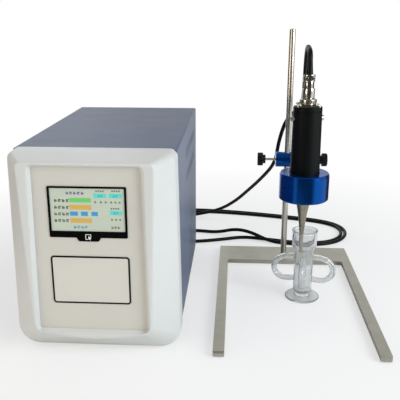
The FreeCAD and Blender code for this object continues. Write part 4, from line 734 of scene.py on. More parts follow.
@dataclass
class ScrewSet:
    """Screw heads of one kind, set in their places by a Geometry Nodes tree."""

    name: str
    radius: float
    height: float
    drive: Drive
    places: list[tuple[Point, Point]]
    dome: float = 0.3
    turn: float = 0.0
    spread: float = math.pi

    def recess(self) -> list[tuple[float, float]]:
        """Outline of the recess, in metres from the head's middle."""
        if self.drive is Drive.SLOT:
            arm, half = self.radius * 0.78, self.radius * 0.16
            return [(-arm, -half), (arm, -half), (arm, half), (-arm, half)]
        arm, half = self.radius * 0.62, self.radius * 0.13
        return [(-arm, -half), (-half, -half), (-half, -arm), (half, -arm), (half, -half),
                (arm, -half), (arm, half), (half, half), (half, arm), (-half, arm), (-half, half),
                (-arm, half)]

    def head(self) -> bpy.types.Mesh:
        """One head: rounded rim, crowned top and its recess."""
        shape = bmesh.new()
        steps, top = 28, self.height
        levels = [(self.radius, 0), (self.radius, top * (1 - self.dome) * 0.8),
                  (self.radius * 0.93, top * 0.9), (self.radius * 0.8, top)]
        rings = []
        for radius, height in levels:
            rings.append([shape.verts.new((radius * math.cos(math.tau * k / steps),
                                           radius * math.sin(math.tau * k / steps), height))
                          for k in range(steps)])
        for first, second in zip(rings, rings[1:]):
            wall(shape, first, second)
        shape.faces.new(list(reversed(rings[0])))
        inner = [shape.verts.new((x, y, top)) for x, y in self.recess()]
        floor = [shape.verts.new((x * 0.85, y * 0.85, top * 0.45)) for x, y in self.recess()]
        wall(shape, inner, floor)
        shape.faces.new(floor)
        edges = [shape.edges.get(pair) for loop in (rings[-1], inner)
                 for pair in zip(loop, loop[1:] + loop[:1])]
        bmesh.ops.triangle_fill(shape, edges=edges, use_beauty=True)
        return mesh_of(shape, self.name + "_head", 30)

    def build(self, material: bpy.types.Material) -> bpy.types.Mesh:
        """Heads of the whole set as one mesh."""
        spots = bpy.data.meshes.new(self.name + "_spots")
        spots.from_pydata([place for place, _ in self.places], [], [])
        facing = spots.attributes.new("facing", "FLOAT_VECTOR", "POINT")
        for index, (_, direction) in enumerate(self.places):
            facing.data[index].vector = direction
        head = bpy.data.objects.new(self.name + "_head", self.head())
        recipe = Recipe(self.name + "_tree")
        unit = recipe.node("GeometryNodeObjectInfo", Object=recipe.ask("Head", "Object", head))
        named = recipe.node("GeometryNodeInputNamedAttribute", {"data_type": "FLOAT_VECTOR"},
                            Name="facing")
        aim = recipe.node("FunctionNodeAlignRotationToVector", {"axis": "Z"},
                          Vector=named.outputs["Attribute"])
        points = recipe.node("GeometryNodeMeshToPoints", Mesh=recipe.start.outputs["Geometry"])
        number = recipe.node("GeometryNodeInputIndex").outputs["Index"]
        spin = recipe.node("FunctionNodeRandomValue", {"data_type": "FLOAT"}, ID=number, Seed=7)
        numbers = [s for s in spin.inputs if s.type == "VALUE"]
        numbers[0].default_value, numbers[1].default_value = self.turn, self.turn + self.spread
        twist = recipe.node("ShaderNodeCombineXYZ", Z=[s for s in spin.outputs
                                                       if s.type == "VALUE" and s.enabled][0])
        turn = recipe.node("FunctionNodeRotateRotation", {"rotation_space": "LOCAL"},
                           Rotation=aim.outputs["Rotation"], Rotate_By=twist.outputs["Vector"])
        heads = recipe.node("GeometryNodeInstanceOnPoints", Points=points.outputs["Points"],
                            Instance=unit.outputs["Geometry"], Rotation=turn.outputs["Rotation"])
        recipe.finish(heads.outputs["Instances"], material)
        mesh = recipe.bake(spots, self.name)
        bpy.data.objects.remove(head)
        return mesh


@dataclass
class Knurl:
    """Fine straight ribs round a turned ring, set by a Geometry Nodes tree."""

    name: str
    centre: Point
    axis: str
    radius: float
    height: float
    count: int
    rib: float = 0.35 * MM

    def build(self, material: bpy.types.Material) -> bpy.types.Mesh:
        """All ribs as one mesh.

        Args:
            material: finish of the ribs.

        Returns:
            The plain mesh, placed in the frame.
        """
        recipe = Recipe(self.name + "_tree")
        radius = recipe.ask("Radius", "Float", self.radius)
        count = recipe.ask("Count", "Int", self.count)
        circle = recipe.node("GeometryNodeMeshCircle", Vertices=count, Radius=radius)
        rib = recipe.node("GeometryNodeMeshCylinder", Vertices=6, Radius=self.rib,
                          Depth=recipe.ask("Height", "Float", self.height))
        ribs = recipe.node("GeometryNodeInstanceOnPoints", Points=circle.outputs["Mesh"],
                           Instance=rib.outputs["Mesh"])
        recipe.finish(ribs.outputs["Instances"], material)
        mesh = recipe.bake(bpy.data.meshes.new(self.name + "_seed"), self.name)
        turn = AXES[self.axis].to_4x4()
        mesh.transform(Matrix.Translation(Vector(self.centre)) @ turn)
        return mesh


@dataclass
class Console:
    """Generator console: bezel, panel, screen, plate, cover and what its back carries."""

    depth: float = 70 * MM
    top: float = 318 * MM
    bottom: float = 2 * MM
    top_half: float = 125 * MM
    base_half: float = 131 * MM
    face_top_half: float = 100 * MM
    face_base_half: float = 91 * MM
    face_top: float = 312 * MM
    face_bottom: float = 36 * MM
    mouth_half: float = 82 * MM
    mouth_top_half: float = 78 * MM
    mouth_low: float = 50 * MM
    mouth_high: float = 302 * MM
    recess: float = 8 * MM
    draft: float = 4.5 * MM
    smile: float = 11 * MM
    lit_width: float = 108 * MM
    steps: int = 9
    side: int = 12

    def __post_init__(self) -> None:
        """Read where the console stands."""
        low, high = corners("front_panel")
        self.x = (low.x + high.x) / 2
        self.front = low.y - self.recess
        self.back = self.front + self.depth
        self.face = low.y

    def panel(self, base: float, top: float, low: float, high: float,
              radii: Sequence[float]) -> list[Vector]:
        """A flat four-sided outline with rounded corners, about the console's middle."""
        shape = [Vector((-base, low)), Vector((base, low)), Vector((top, high)),
                 Vector((-top, high))]
        return softened(shape, radii, self.steps, self.side)

    def outline(self, setback: float, share: float, inset: float) -> list[Vector]:
        """One outline of the bezel.

        Args:
            setback: distance forward of the cover's edge.
            share: 0 at the cover, 1 at the front face.
            inset: how far the outline lies inside.

        Returns:
            The outline's points, its low edge bowed as on the real bezel.
        """
        def between(start: float, end: float) -> float:
            return start + (end - start) * share

        top = between(self.top_half, self.face_top_half) - inset
        base = between(self.base_half, self.face_base_half) - inset
        high = between(self.top, self.face_top) - inset
        low = between(self.bottom, self.face_bottom) + inset
        foot = max(between(34, 14) * MM - inset, 3 * MM)
        head = max(between(12, 9) * MM - inset / 2, 3 * MM)
        points = []
        for spot in self.panel(base, top, low, high, (foot, foot, head, head)):
            near = max(0.0, 1 - (spot.y - low) / (60 * MM))
            lift = self.smile * share * near * (spot.x / base) ** 2
            points.append(Vector((self.x + spot.x, self.back - setback, spot.y + lift)))
        return points

    def mouth(self, setback: float, grow: float) -> list[Vector]:
        """One outline of the bezel's mouth, grown outwards towards the front."""
        base, top = self.mouth_half + grow, self.mouth_top_half + grow
        low, high = self.mouth_low - grow, self.mouth_high + grow
        flat = self.panel(base, top, low, high, [3 * MM + grow] * 4)
        return [Vector((self.x + spot.x, self.back - setback, spot.y)) for spot in flat]

    def bezel(self) -> bpy.types.Mesh:
        """Bezel as one closed skin: outside, rim, mouth and inside."""
        loops = []
        for setback, share, inset in ((0, 0, 0), (1.2, 0, 0), (14, 0, 0.3), (25.5, 0, 0.8),
                                      (28, 0.01, 0.9), (30.5, 0.05, 1.0), (33, 0.11, 1.0),
                                      (48, 0.47, 1.0), (63, 0.83, 1.0), (66.5, 0.915, 1.1),
                                      (68.4, 0.96, 1.3), (69.5, 0.985, 1.8), (69.9, 1.0, 2.8),
                                      (70, 1.0, 3.8)):
            loops.append(self.outline(setback * MM, share, inset * MM))
        floor = self.depth - self.recess
        flare = self.draft
        for setback, grow in ((70 * MM, flare + 1.2 * MM), (69.7 * MM, flare + 0.4 * MM),
                              (69 * MM, flare), (floor + 3 * MM, flare * 0.45),
                              (floor + 0.1 * MM, 0), (floor, 1 * MM)):
            loops.append(self.mouth(setback, grow))
        for setback, share, inset in ((floor, 0.88, 5 * MM), (24 * MM, 0, 4 * MM),
                                      (0, 0, 4 * MM)):
            loops.append(self.outline(setback, share, inset))
        return loft(loops, "front_bezel_skin", closed=True, smooth=38)

    def dress(self, shop: Workshop) -> None:
        """Finish the console's nodes and add its pieces."""
        piece = shop.add("bezel_moulding", self.bezel(), BEZEL, Body.STILL, "bezel",
                         ["front_bezel"])
        soft = piece.modifiers.new("soft", "SUBSURF")
        soft.levels = soft.render_levels = 1
        shop.dress(PANEL, "front_panel")
        shop.dress(SCREEN_GLASS, "touchscreen_frame", round_off=0.3 * MM)
        shop.dress(BLACK_LINE, "blank_plate_outline", round_off=0.2 * MM)
        shop.dress(PLATE, "blank_plate")
        shop.dress(COVER, "cover_shell", "rear_panel", round_off=0.3 * MM)
        shop.dress(ZINC, "chassis_tray", "back_mass", round_off=0.2 * MM)
        shop.dress(FEET, "rubber_feet", "base_pads", round_off=0.4 * MM)
        shop.dress(BLACK_PLASTIC, "fan_frame", "fan_rotor", "mains_inlet", "switch_housing",
                   "capacitors", "rear_plug")
        shop.dress(KNOB_GLOSS, "power_rocker", round_off=0.3 * MM)
        shop.dress(SCREW_STEEL, "fan_guard", "fan_screws", "cover_screws")
        shop.dress(NICKEL_ROUND, "output_socket", "rear_coupling_ring")
        shop.dress(BOARD, "display_board", "power_board")
        shop.dress(BRASS, "board_standoffs")
        shop.dress(ALLOY, "heat_sink")
        shop.dress(IRON, "transformer_core")
        shop.dress(COPPER, "transformer_winding")
        shop.dress(LitInk("display_ground", Tone.SCREEN), "touchscreen_display")
        self.screws(shop)
        Readout(self.x - self.lit_width / 2, corners("touchscreen_display")[0].z + 1.5 * MM,
                self.face).dress(shop)

    def screws(self, shop: Workshop) -> None:
        """Crossed heads of the cover's and the fan's screws."""
        low, high = corners("cover_screws")
        shell_low, shell_high = corners("cover_shell")
        places: list[tuple[Point, Point]] = []
        for step in range(3):
            y = shell_low.y + (45 + 165 * step) * MM
            z = (low.z + high.z) / 2
            places.append(((shell_low.x, y, z), (-1, 0, 0)))
            places.append(((shell_high.x, y, z), (1, 0, 0)))
        heads = ScrewSet("cover_screw_heads", 3.6 * MM, 1.8 * MM, Drive.CROSS, places)
        shop.fit(heads, SCREW_STEEL, Body.STILL, "screw", "cover_screws")
        low, high = corners("fan_screws")
        radius, height = 3.24 * MM, 1.8 * MM
        spots = [((x, high.y - height, z), (0, 1, 0)) for x in (low.x + radius, high.x - radius)
                 for z in (low.z + radius, high.z - radius)]
        heads = ScrewSet("fan_screw_heads", radius, height, Drive.CROSS, spots)
        shop.fit(heads, SCREW_STEEL, Body.STILL, "screw", "fan_screws")
        low, high = corners("rear_coupling_ring")
        ribs = Knurl("rear_ring_ribs", tuple((low + high) / 2), "y", (high.x - low.x) / 2,
                     (high.y - low.y) * 0.8, 44)
        shop.fit(ribs, NICKEL_ROUND, Body.REAR_RING, "nickel")


@dataclass(frozen=True)
class Patch:
    """A plain rectangle of the display, in millimetres from its lower left corner."""

    left: float
    low: float
    right: float
    high: float
    tone: Tone
    lift: float = 0.05


@dataclass
class Readout:
    """What the lit display shows: plain bars, boxes and short strokes, with no words."""

    left: float
    low: float
    face: float
    width: float = 108
    sign: float = 1.5 * MM
    patches: list[Patch] = field(default_factory=list)

    def strokes(self, left: float, low: float, count: int, size: float, tone: Tone) -> None:
        """A row of short strokes that stands for a caption."""
        for index in range(count):
            start = left + index * size * 1.25
            bar = size * 0.22
            self.patches.append(Patch(start, low, start + bar, low + size, tone, 0.1))
            self.patches.append(Patch(start + size * 0.4, low, start + size * 0.62,
                                      low + size * 0.9, tone, 0.1))
            self.patches.append(Patch(start, low + size * (0.75 if index % 2 else 0.3),
                                      start + size * 0.95, low + size * (0.93 if index % 2
                                                                         else 0.48), tone, 0.1))

    def compose(self) -> None:
        """Lay out the display."""
        add = self.patches.append
        self.strokes(24, 55.2, 5, 4.4, Tone.PURPLE_INK)
        for row, low in enumerate((43.6, 33.4, 23.4, 13.4)):
            self.strokes(6.5 - row * 0.4, low, 4, 4.6, Tone.DARK_INK)
        add(Patch(28.5, 43.6, 59.6, 50.2, Tone.GREEN_BAR))
        add(Patch(28.5, 33, 59.6, 39.8, Tone.ORANGE_BAR))
        for left, right in ((28.5, 39.8), (44.4, 54.4), (59.6, 69)):
            add(Patch(left, 23.4, right, 29.8, Tone.BLUE_BAR))
        add(Patch(28.5, 12.8, 59.6, 19.6, Tone.ORANGE_BAR))
        add(Patch(64, 50.4, 82, 57.4, Tone.CYAN_BOX))
        add(Patch(86, 50.6, 104.6, 57.6, Tone.CYAN_BOX))
        add(Patch(86, 25.2, 104.2, 31.8, Tone.CYAN_BOX))
        for start, low in ((67, 59.4), (90, 59.8), (88, 33.6)):
            self.strokes(start, low, 4, 2.7, Tone.DARK_INK)
        for start, low in ((70, 52), (92, 52.2), (92, 26.8)):
            self.strokes(start, low, 2, 3, Tone.BLUE_BAR)
        for start, low in ((65, 43), (73, 43), (80, 43), (88, 43), (94, 43), (100, 43), (88, 17),
                           (94, 17), (100, 17)):
            self.strokes(start, low, 1, 3, Tone.DARK_INK)
        self.strokes(33, 4, 4, 4.4, Tone.BLUE_BAR)
        self.strokes(88, 4.4, 3, 3.6, Tone.DARK_INK)

    def dress(self, shop: Workshop) -> None:
        """Build the display's patches as one piece a colour."""
        self.compose()
        tones = sorted({patch.tone for patch in self.patches}, key=lambda tone: tone.name)
        for tone in tones:
            shape = bmesh.new()
            for patch in self.patches:
                if patch.tone is not tone:
                    continue
                y = self.face - patch.lift * MM
                back = y + 0.02 * MM
                low = Vector((self.left + patch.left * MM, y, self.low + patch.low * MM))
                high = Vector((self.left + patch.right * MM, back, self.low + patch.high * MM))
                slab(shape, low, high)
            name = "readout_" + tone.name.lower()
            shop.add(name, mesh_of(shape, name), LitInk(name + "_ink", tone), Body.STILL,
                     "display")
        self.touch_mark(shop)

    def touch_mark(self, shop: Workshop) -> None:
        """Small touch sign printed on the frame's tab: an open square and a pointer, given a faint
        painted glow.
        """
        frame_low, _ = corners("touchscreen_frame")
        x, z = self.left + self.width / 2 * MM, frame_low.z + 6.6 * MM
        y, skin = frame_low.y - 0.03 * MM, 0.015 * MM
        shape = bmesh.new()
        bars = [(-3.2, 2.4, 2.4, 3.0), (-3.2, -2.6, -2.6, 2.4), (1.8, -0.4, 2.4, 2.4),
                (-2.6, -2.6, -0.6, -2.0)]
        for left, low, right, high in bars:
            slab(shape, Vector((x + left * self.sign, y - skin, z + low * self.sign)),
                 Vector((x + right * self.sign, y + skin, z + high * self.sign)))
        pointer = [(-0.2, 1.2), (-0.4, -2.4), (0.5, -1.6), (1.2, -3.2), (2.0, -2.8), (1.3, -1.3),
                   (2.5, -1.2)]
        front, back = ([shape.verts.new((x + px * self.sign, y + rise, z + pz * self.sign))
                        for px, pz in pointer] for rise in (-skin, skin))
        shape.faces.new(front)
        shape.faces.new(list(reversed(back)))
        wall(shape, front, back)
        # The printed sign's emission is a painted glow, since the sign is no lamp.
        ink = LitInk("touch_mark_ink", Tone.WHITE_INK, 0.05)
        shop.add("touch_mark", mesh_of(shape, "touch_mark"), ink, Body.STILL, "screen_glass")


@dataclass
class Stand:
    """Rod stand with its clamp block and thumbscrews."""

    def dress(self, shop: Workshop) -> None:
        """Finish the stand's nodes."""
        shop.dress(NICKEL, "base_frame", round_off=0.5 * MM)
        shop.dress(ROD_STEEL, "stand_rod", round_off=0.3 * MM)
        shop.dress(BLUE_BLOCK, "clamp_block", round_off=0.2 * MM)
        shop.dress(KNOB_GLOSS, "rod_screw_knob", "arm_screw_knob", round_off=0.3 * MM)
        shop.dress(STUD_STEEL, "rod_screw_stud", "arm_screw_stud")
        shop.dress(SCREW_STEEL, "rod_fixing_screw")
        shop.dress(ARM_STEEL, "holder_arm")


@dataclass
class Transducer:
    """Ring, housing, horn and the plug with its relief."""

    corner_head: float = 3 * MM
    side_height: float = 4.5 * MM
    side_turn: float = 15
    boot_radius: float = 7.1 * MM
    boot_straight: float = 22 * MM
    boot_bend: float = 18 * MM
    boot_turn: float = 75
    sleeve: float = 22 * MM
    sleeve_radius: float = 4.16 * MM

    def dress(self, shop: Workshop, lead: Sequence[Vector]) -> None:
        """Finish the transducer's nodes and add its screw heads, ribs and relief.

        Args:
            shop: the loaded frame and its finishes.
            lead: points of the cable from where it leaves the relief.
        """
        shop.dress(BLUE_RING, "holder_ring")
        shop.dress(SCREW_STEEL, "ring_set_screws", "preload_bolt")
        shop.dress(BLACK_TURNED, "transducer_housing", "housing_cap")
        shop.dress(TITANIUM, "horn")
        shop.dress(CERAMIC, "piezo_rings")
        shop.dress(BRASS, "electrode_plates")
        shop.dress(NICKEL_ROUND, "socket_flange", "coupling_ring", "plug_body", "gland_nut",
                   "cable_saddle", round_off=0.3 * MM)
        self.screws(shop)
        low, high = corners("coupling_ring")
        ribs = Knurl("coupling_ring_ribs", tuple((low + high) / 2), "z", (high.x - low.x) / 2,
                     (high.z - low.z) * 0.62, 48)
        shop.fit(ribs, NICKEL_ROUND, Body.COUPLING, "nickel")
        shop.add("cable_relief", self.relief(lead), BOOT, Body.HOLDER, "rubber",
                 ["strain_relief_boot"])

    def screws(self, shop: Workshop) -> None:
        """Heads on the plate's corners, on the saddle and on the housing's sides."""
        low, high = corners("socket_screws")
        spots = [((x, y, low.z), (0, 0, 1))
                 for x in (low.x + self.corner_head, high.x - self.corner_head)
                 for y in (low.y + self.corner_head, high.y - self.corner_head)]
        heads = ScrewSet("corner_heads", self.corner_head, high.z - low.z, Drive.CROSS, spots)
        shop.fit(heads, SCREW_STEEL, Body.HOLDER, "screw", "socket_screws")
        low, high = corners("saddle_screws")
        head = (high.z - low.z) / 2
        spots = [((x, high.y, low.z + head), (0, -1, 0)) for x in (low.x + head, high.x - head)]
        heads = ScrewSet("saddle_heads", head, high.y - low.y, Drive.SLOT, spots)
        shop.fit(heads, SCREW_STEEL, Body.HOLDER, "screw", "saddle_screws")
        low, high = corners("housing_screws")
        head, height = (high.z - low.z) / 2, self.side_height
        turn = math.radians(self.side_turn)
        reach = Vector((math.cos(turn), math.sin(turn), 0))
        seat = ((high.x - low.x) / 2 - head * reach.y) / reach.x - height
        centre = (low + high) / 2
        spots = [(tuple(centre + reach * seat * side), tuple(reach * side)) for side in (-1, 1)]
        heads = ScrewSet("side_heads", head, height, Drive.SLOT, spots, turn=math.pi / 2,
                         spread=0.3)
        shop.fit(heads, SCREW_STEEL, Body.HOLDER, "screw", "housing_screws")

    def relief(self, lead: Sequence[Vector]) -> bpy.types.Mesh:
        """Rubber relief: a taper that bends back and ends in a thin sleeve on the cable.

        Args:
            lead: points of the cable from where it leaves the relief.

        Returns:
            The mesh; its sleeve is longer than the arm's travel, so no gap opens.
        """
        low, high = corners("strain_relief_boot")
        foot = Vector(((low.x + high.x) / 2, low.y + self.boot_radius, low.z))
        turn, bend = math.radians(self.boot_turn), self.boot_bend
        total = self.boot_straight + bend * turn
        marks = [(0.0, 0.82), (0.004, 0.86), (0.03, 0.86), (0.05, 0.82)]
        marks += [(0.08 + 0.4 * step / 12, 0.81 - 0.19 * step / 12) for step in range(13)]
        marks += [(0.52 + 0.45 * step / 12, 0.615 - 0.015 * step / 12) for step in range(13)]
        marks += [(1.0, 0.595)]

        def across(middle: Vector, heading: Vector, radius: float) -> list[Vector]:
            aside = (Vector((1, 0, 0)) - heading * heading.x).normalized()
            return ring(middle, aside, heading.cross(aside), radius, 40)

        loops = []
        for share, width in marks:
            along = total * share
            angle = max(along - self.boot_straight, 0) / bend
            middle = foot + Vector((0, bend * (1 - math.cos(angle)),
                                    min(along, self.boot_straight) + bend * math.sin(angle)))
            loops.append(across(middle, Vector((0, math.sin(angle), math.cos(angle))),
                                self.boot_radius * width))
        gone = 0.0
        for before, spot, after in zip(lead, lead[1:], lead[2:]):
            gone += (spot - before).length
            if gone > self.sleeve:
                break
            loops.append(across(spot, (after - before).normalized(), self.sleeve_radius))
        return loft(loops, "cable_relief", caps=True, smooth=50)


@dataclass
class GlassCell:
    """Circulation vessel and its loop arms."""

    start: float = 16 * MM
    reach: float = 59 * MM
    radius: float = 5.2 * MM
    wall: float = 1.3 * MM
    high: float = 81 * MM
    outer_high: float = 67 * MM
    outer_low: float = 47 * MM
    low: float = 35.5 * MM
    turn: float = -10
    count: int = 4

    def dress(self, shop: Workshop) -> None:
        """Finish the vessel and replace its loops by hollow tubes."""
        shop.dress(GLASS, "cell_body")
        shop.add("loop_tubes", self.loops(), GLASS, Body.STILL, "glass", ["loop_arms"])

    def path(self, turn: float) -> list[Vector]:
        """Centre line of one loop, its corners rounded."""
        outer = self.reach - self.radius
        flat = [(self.start, self.high), (outer * 0.7, self.high - 1 * MM),
                (outer, self.outer_high), (outer, self.outer_low), (outer * 0.72, self.low),
                (self.start, self.low + 2 * MM)]
        body_low, body_high = corners("cell_body")
        centre = (body_low + body_high) / 2
        marks = [Vector((centre.x + r * math.cos(turn), centre.y + r * math.sin(turn), z))
                 for r, z in flat]
        points = [marks[0]]
        for before, corner, after in zip(marks, marks[1:], marks[2:]):
            back, ahead = before - corner, after - corner
            reach = 0.5 * min(back.length, ahead.length)
            first, last = corner + back.normalized() * reach, corner + ahead.normalized() * reach
            for step in range(9):
                t = step / 8
                points.append(first * (1 - t) ** 2 + corner * 2 * t * (1 - t) + last * t * t)
        points.append(marks[-1])
        return points

    def loops(self) -> bpy.types.Mesh:
        """All loops as hollow glass tubes, evenly spread round the vessel."""
        shape = bmesh.new()
        sides = 24
        for index in range(self.count):
            turn = math.radians(self.turn - 90 + 360 / self.count * index)
            across = Vector((-math.sin(turn), math.cos(turn), 0))
            points = self.path(turn)
            rings = []
            for radius in (self.radius, self.radius - self.wall):
                skin = []
                for spot, point in enumerate(points):
                    heading = (points[min(spot + 1, len(points) - 1)]
                               - points[max(spot - 1, 0)]).normalized()
                    side = heading.cross(across)
                    skin.append([shape.verts.new(corner)
                                 for corner in ring(point, across, side, radius, sides)])
                rings += skin if radius == self.radius else list(reversed(skin))
            for first, second in zip(rings, rings[1:] + rings[:1]):
                wall(shape, first, second)
        return mesh_of(shape, "loop_tubes", 50)


@dataclass
class Cable:
    """Black cable from the transducer's relief to the console's plug."""

    diameter: float = 8 * MM
    floor: float = 4
    hump: float = 20
    tuck: float = 7 * MM
    exit_y: float = 4.341 * MM
    exit_z: float = 450.387 * MM
    exit_tilt: float = 75
    exit_run: float = 22 * MM
    plug_run: float = 24 * MM
    sides: int = 14

    def route(self) -> list[Vector]:
        """Route of the cable, in metres, the same as the model's."""
        boot_low, boot_high = corners("strain_relief_boot")
        plug = corners("rear_plug")
        exit_x = (boot_low.x + boot_high.x) / 2
        start = Vector((exit_x, self.exit_y, self.exit_z))
        tilt = math.radians(self.exit_tilt)
        heading = Vector((0, math.sin(tilt), math.cos(tilt)))
        end = Vector(((plug[0].x + plug[1].x) / 2, plug[1].y, (plug[0].z + plug[1].z) / 2))
        rise = [(172, 60, 450), (175, 99, 414), (179, 138, 367), (181, 178, 328), (155, 222, 302),
                (140, 236, 246), (137, 261, 193), (108, 319, 140), (81, 364, 100), (51, 404, 60),
                (14, 434, 28), (-32, 447, 11)]
        small_turn = [(-82, 443), (-124, 431), (-154, 403), (-157, 367), (-130, 340), (-88, 332),
                      (-40, 333), (8, 323)]
        outer_turn = [(132, 267), (184, 255), (236, 253), (282, 271), (310, 309), (318, 355),
                      (303, 397), (266, 425), (216, 443), (166, 457), (113, 471), (60, 483),
                      (6, 492), (-50, 497), (-106, 496), (-162, 485), (-212, 456), (-245, 407),
                      (-252, 347), (-238, 293), (-196, 263), (-140, 253), (-84, 252), (-30, 260),
                      (22, 276)]
        inner_turn = [(70, 296), (124, 283), (180, 266), (234, 263), (276, 279), (301, 313),
                      (308, 355), (295, 391), (261, 416), (213, 433), (163, 447), (111, 461),
                      (58, 472), (4, 480), (-58, 482), (-120, 473)]
        fall = [(-176, 452, 5), (-205, 422, 22), (-211, 390, 58), (-212, 360, 92)]
        points = [start, start + heading * self.exit_run]
        points += [Vector(mark) * MM for mark in rise]
        points += [Vector((x, y, self.floor)) * MM for x, y in small_turn]
        points += [Vector((50, 305, self.hump)) * MM, Vector((86, 287, self.hump)) * MM]
        points += [Vector((x, y, self.floor)) * MM for x, y in outer_turn + inner_turn]
        points += [Vector(mark) * MM for mark in fall]
        points += [end + Vector((0, self.plug_run, 0)), end]
        return points

    def line(self) -> list[Vector]:
        """Points of the smooth spline through the route."""
        curve = bpy.data.curves.new("cable_line", "CURVE")
        curve.dimensions = "3D"
        curve.resolution_u = 12
        route = self.route()
        spline = curve.splines.new("NURBS")
        spline.points.add(len(route) - 1)
        for spot, point in zip(spline.points, route):
            spot.co = (*point, 1)
        spline.order_u = 3
        spline.use_endpoint_u = True
        holder = placed("cable_line", curve)
        graph = bpy.context.evaluated_depsgraph_get()
        mesh = bpy.data.meshes.new_from_object(holder.evaluated_get(graph))
        points = [vertex.co.copy() for vertex in mesh.vertices]
        bpy.data.objects.remove(holder)
        bpy.data.meshes.remove(mesh)
        return points

    def tube(self, points: Sequence[Vector]) -> bpy.types.Mesh:
        """Round tube along the line, carried without twist."""
        loops = []
        normal = Vector((1, 0, 0))
        for index, point in enumerate(points):
            before = points[max(index - 1, 0)]
            after = points[min(index + 1, len(points) - 1)]
            heading = (after - before).normalized()
            normal = (normal - heading * normal.dot(heading)).normalized()
            loops.append(ring(point, normal, heading.cross(normal), self.diameter / 2, self.sides))
        return loft(loops, "transducer_cable_tube", caps=True, smooth=60)

    def lay(self, shop: Workshop) -> list[Vector]:
        """Args:
            shop: the loaded frame and its finishes.

        Returns:
            The points of its line, from the relief to the plug.
        """
        points = self.line()
        hidden, gone = 0, 0.0
        while gone < self.tuck:
            gone += (points[hidden + 1] - points[hidden]).length
            hidden += 1
        shown = points[hidden:]
        tube = shop.add("transducer_lead", self.tube(shown), JACKET, None, "cable",
                        ["transducer_cable"])
        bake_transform(tube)
        return points


@dataclass(frozen=True)
class Panel:
    """A soft white panel that only shows in reflections."""

    towards: Point
    edge: float
    full: float
    level: float


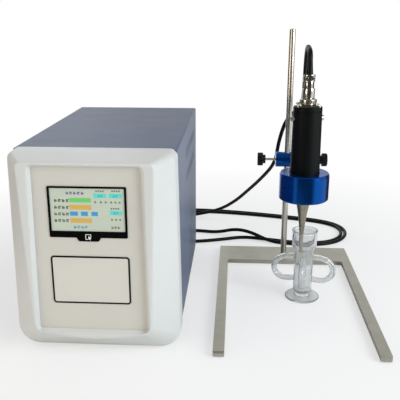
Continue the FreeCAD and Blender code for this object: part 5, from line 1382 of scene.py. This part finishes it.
@dataclass
class Studio:
    """Plain pale floor, soft lights and the camera of the photograph."""

    place: Point = (0.0480, -1.0647, 0.5086)
    pitch: float = 16.96
    yaw: float = 3.396
    lens: float = 54.9
    ambient: float = 0.5
    dim: float = 0.05
    panels: tuple[Panel, ...] = (Panel((0.93, -0.2, -0.3), 0.7, 0.92, 0.95),
                                 Panel((-0.78, -0.55, -0.3), 0.94, 0.985, 0.85),
                                 Panel((-0.1, 0.95, -0.3), 0.86, 0.96, 0.85),
                                 Panel((-0.15, 0.9, 0.38), 0.6, 0.96, 0.62),
                                 Panel((0, 0, 1), 0.0, 1.0, 0.3))

    def camera(self) -> None:
        """Set the camera."""
        data = bpy.data.cameras.new("camera")
        data.lens = self.lens
        data.sensor_width = 36
        eye = placed("camera", data)
        eye.location = self.place
        eye.rotation_euler = (math.radians(90 - self.pitch), 0, math.radians(self.yaw))
        bpy.context.scene.camera = eye

    def floor(self) -> None:
        """Pale floor: it fades into white away from the set, where mirrors see the panels."""
        shape = bmesh.new()
        bmesh.ops.create_grid(shape, x_segments=1, y_segments=1, size=6)
        mesh = bpy.data.meshes.new("floor")
        shape.to_mesh(mesh)
        shape.free()
        plane = placed("floor", mesh)
        plane.location.z = -0.0005
        paint = Paint("floor_white")
        paint.set(Base_Color=(0.94, 0.94, 0.94, 1), Roughness=0.9, Specular_IOR_Level=0.1)
        away = paint.node("ShaderNodeVectorMath", {"operation": "LENGTH"},
                          Vector=paint.place).outputs["Value"]
        rays = paint.node("ShaderNodeLightPath").outputs
        white = paint.step("MULTIPLY", paint.band(away, 0.55, 1.0, 0.45, 1.0),
                           rays["Is Camera Ray"])
        glow = paint.node("ShaderNodeEmission", Strength=1.0).outputs["Emission"]
        pale = paint.layered(white, paint.shader.outputs["BSDF"], glow)
        gone = paint.step("MULTIPLY", paint.band(away, 0, 1, 0.5, 0.7), rays["Is Glossy Ray"])
        clear = paint.node("ShaderNodeBsdfTransparent").outputs["BSDF"]
        paint.fill(paint.tree.nodes["Material Output"].inputs["Surface"],
                   paint.layered(gone, pale, clear))
        mesh.materials.append(paint.material)

    def light(self, name: str, place: Point, size: float, power: float,
              tint: tuple[float, float, float]) -> None:
        """Add one soft lamp aimed at the set."""
        data = bpy.data.lights.new(name, "AREA")
        data.shape = "DISK"
        data.size = size
        data.energy = power
        data.color = tint
        lamp = placed(name, data)
        lamp.location = place
        aim = Vector((0, 0, 0.15)) - Vector(place)
        lamp.rotation_euler = aim.to_track_quat("-Z", "Y").to_euler()

    def world(self) -> None:
        """Surround: white to the camera, soft panels in reflections."""
        world = bpy.data.worlds.new("studio")
        world.use_nodes = True
        sky = Graph(world.node_tree)
        ground = sky.tree.nodes["Background"].inputs
        ground["Color"].default_value = (1, 1, 1, 1)
        rays = sky.node("ShaderNodeLightPath").outputs
        seen = sky.step("MAXIMUM", rays["Is Camera Ray"], rays["Is Transmission Ray"])
        source = sky.node("ShaderNodeTexCoord").outputs["Generated"]
        mirrored: object = self.dim
        for panel in self.panels:
            facing = sky.node("ShaderNodeVectorMath", {"operation": "DOT_PRODUCT"}, Vector=source)
            facing.inputs[1].default_value = Vector(panel.towards).normalized()
            soft = sky.node("ShaderNodeMapRange", {"interpolation_type": "SMOOTHSTEP"},
                            Value=facing.outputs["Value"], From_Min=panel.edge,
                            From_Max=panel.full, To_Max=panel.level)
            mirrored = sky.step("ADD", soft.outputs["Result"], mirrored)
        plain = sky.step("ADD", sky.step("MULTIPLY", rays["Is Glossy Ray"],
                                         sky.step("SUBTRACT", mirrored, self.ambient)),
                         self.ambient)
        level = sky.step("ADD", plain, sky.step("MULTIPLY", seen,
                                                sky.step("SUBTRACT", 1.0, plain)))
        sky.fill(ground["Strength"], level)
        bpy.context.scene.world = world

    def build(self) -> None:
        """Set up the studio."""
        bpy.context.scene.view_settings.view_transform = "Standard"
        self.camera()
        self.floor()
        self.world()
        self.light("key", (1.9, -1.2, 1.15), 1.4, 38, (0.9, 0.97, 1))
        self.light("fill", (-2.0, -1.5, 0.55), 1.5, 15, (1, 0.85, 0.66))
        self.light("back", (-1.1, 1.7, 1.2), 1.5, 4, (0.93, 0.97, 1))


def main() -> None:
    """Dress the whole set."""
    logging.basicConfig(level=logging.INFO, format="%(message)s")
    for thing in list(bpy.data.objects):
        bpy.data.objects.remove(thing)
    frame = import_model()
    shop = Workshop(frame)
    Studio().build()
    lead = Cable().lay(shop)
    Console().dress(shop)
    Stand().dress(shop)
    Transducer().dress(shop, lead)
    GlassCell().dress(shop)


if __name__ == "__main__":
    main()
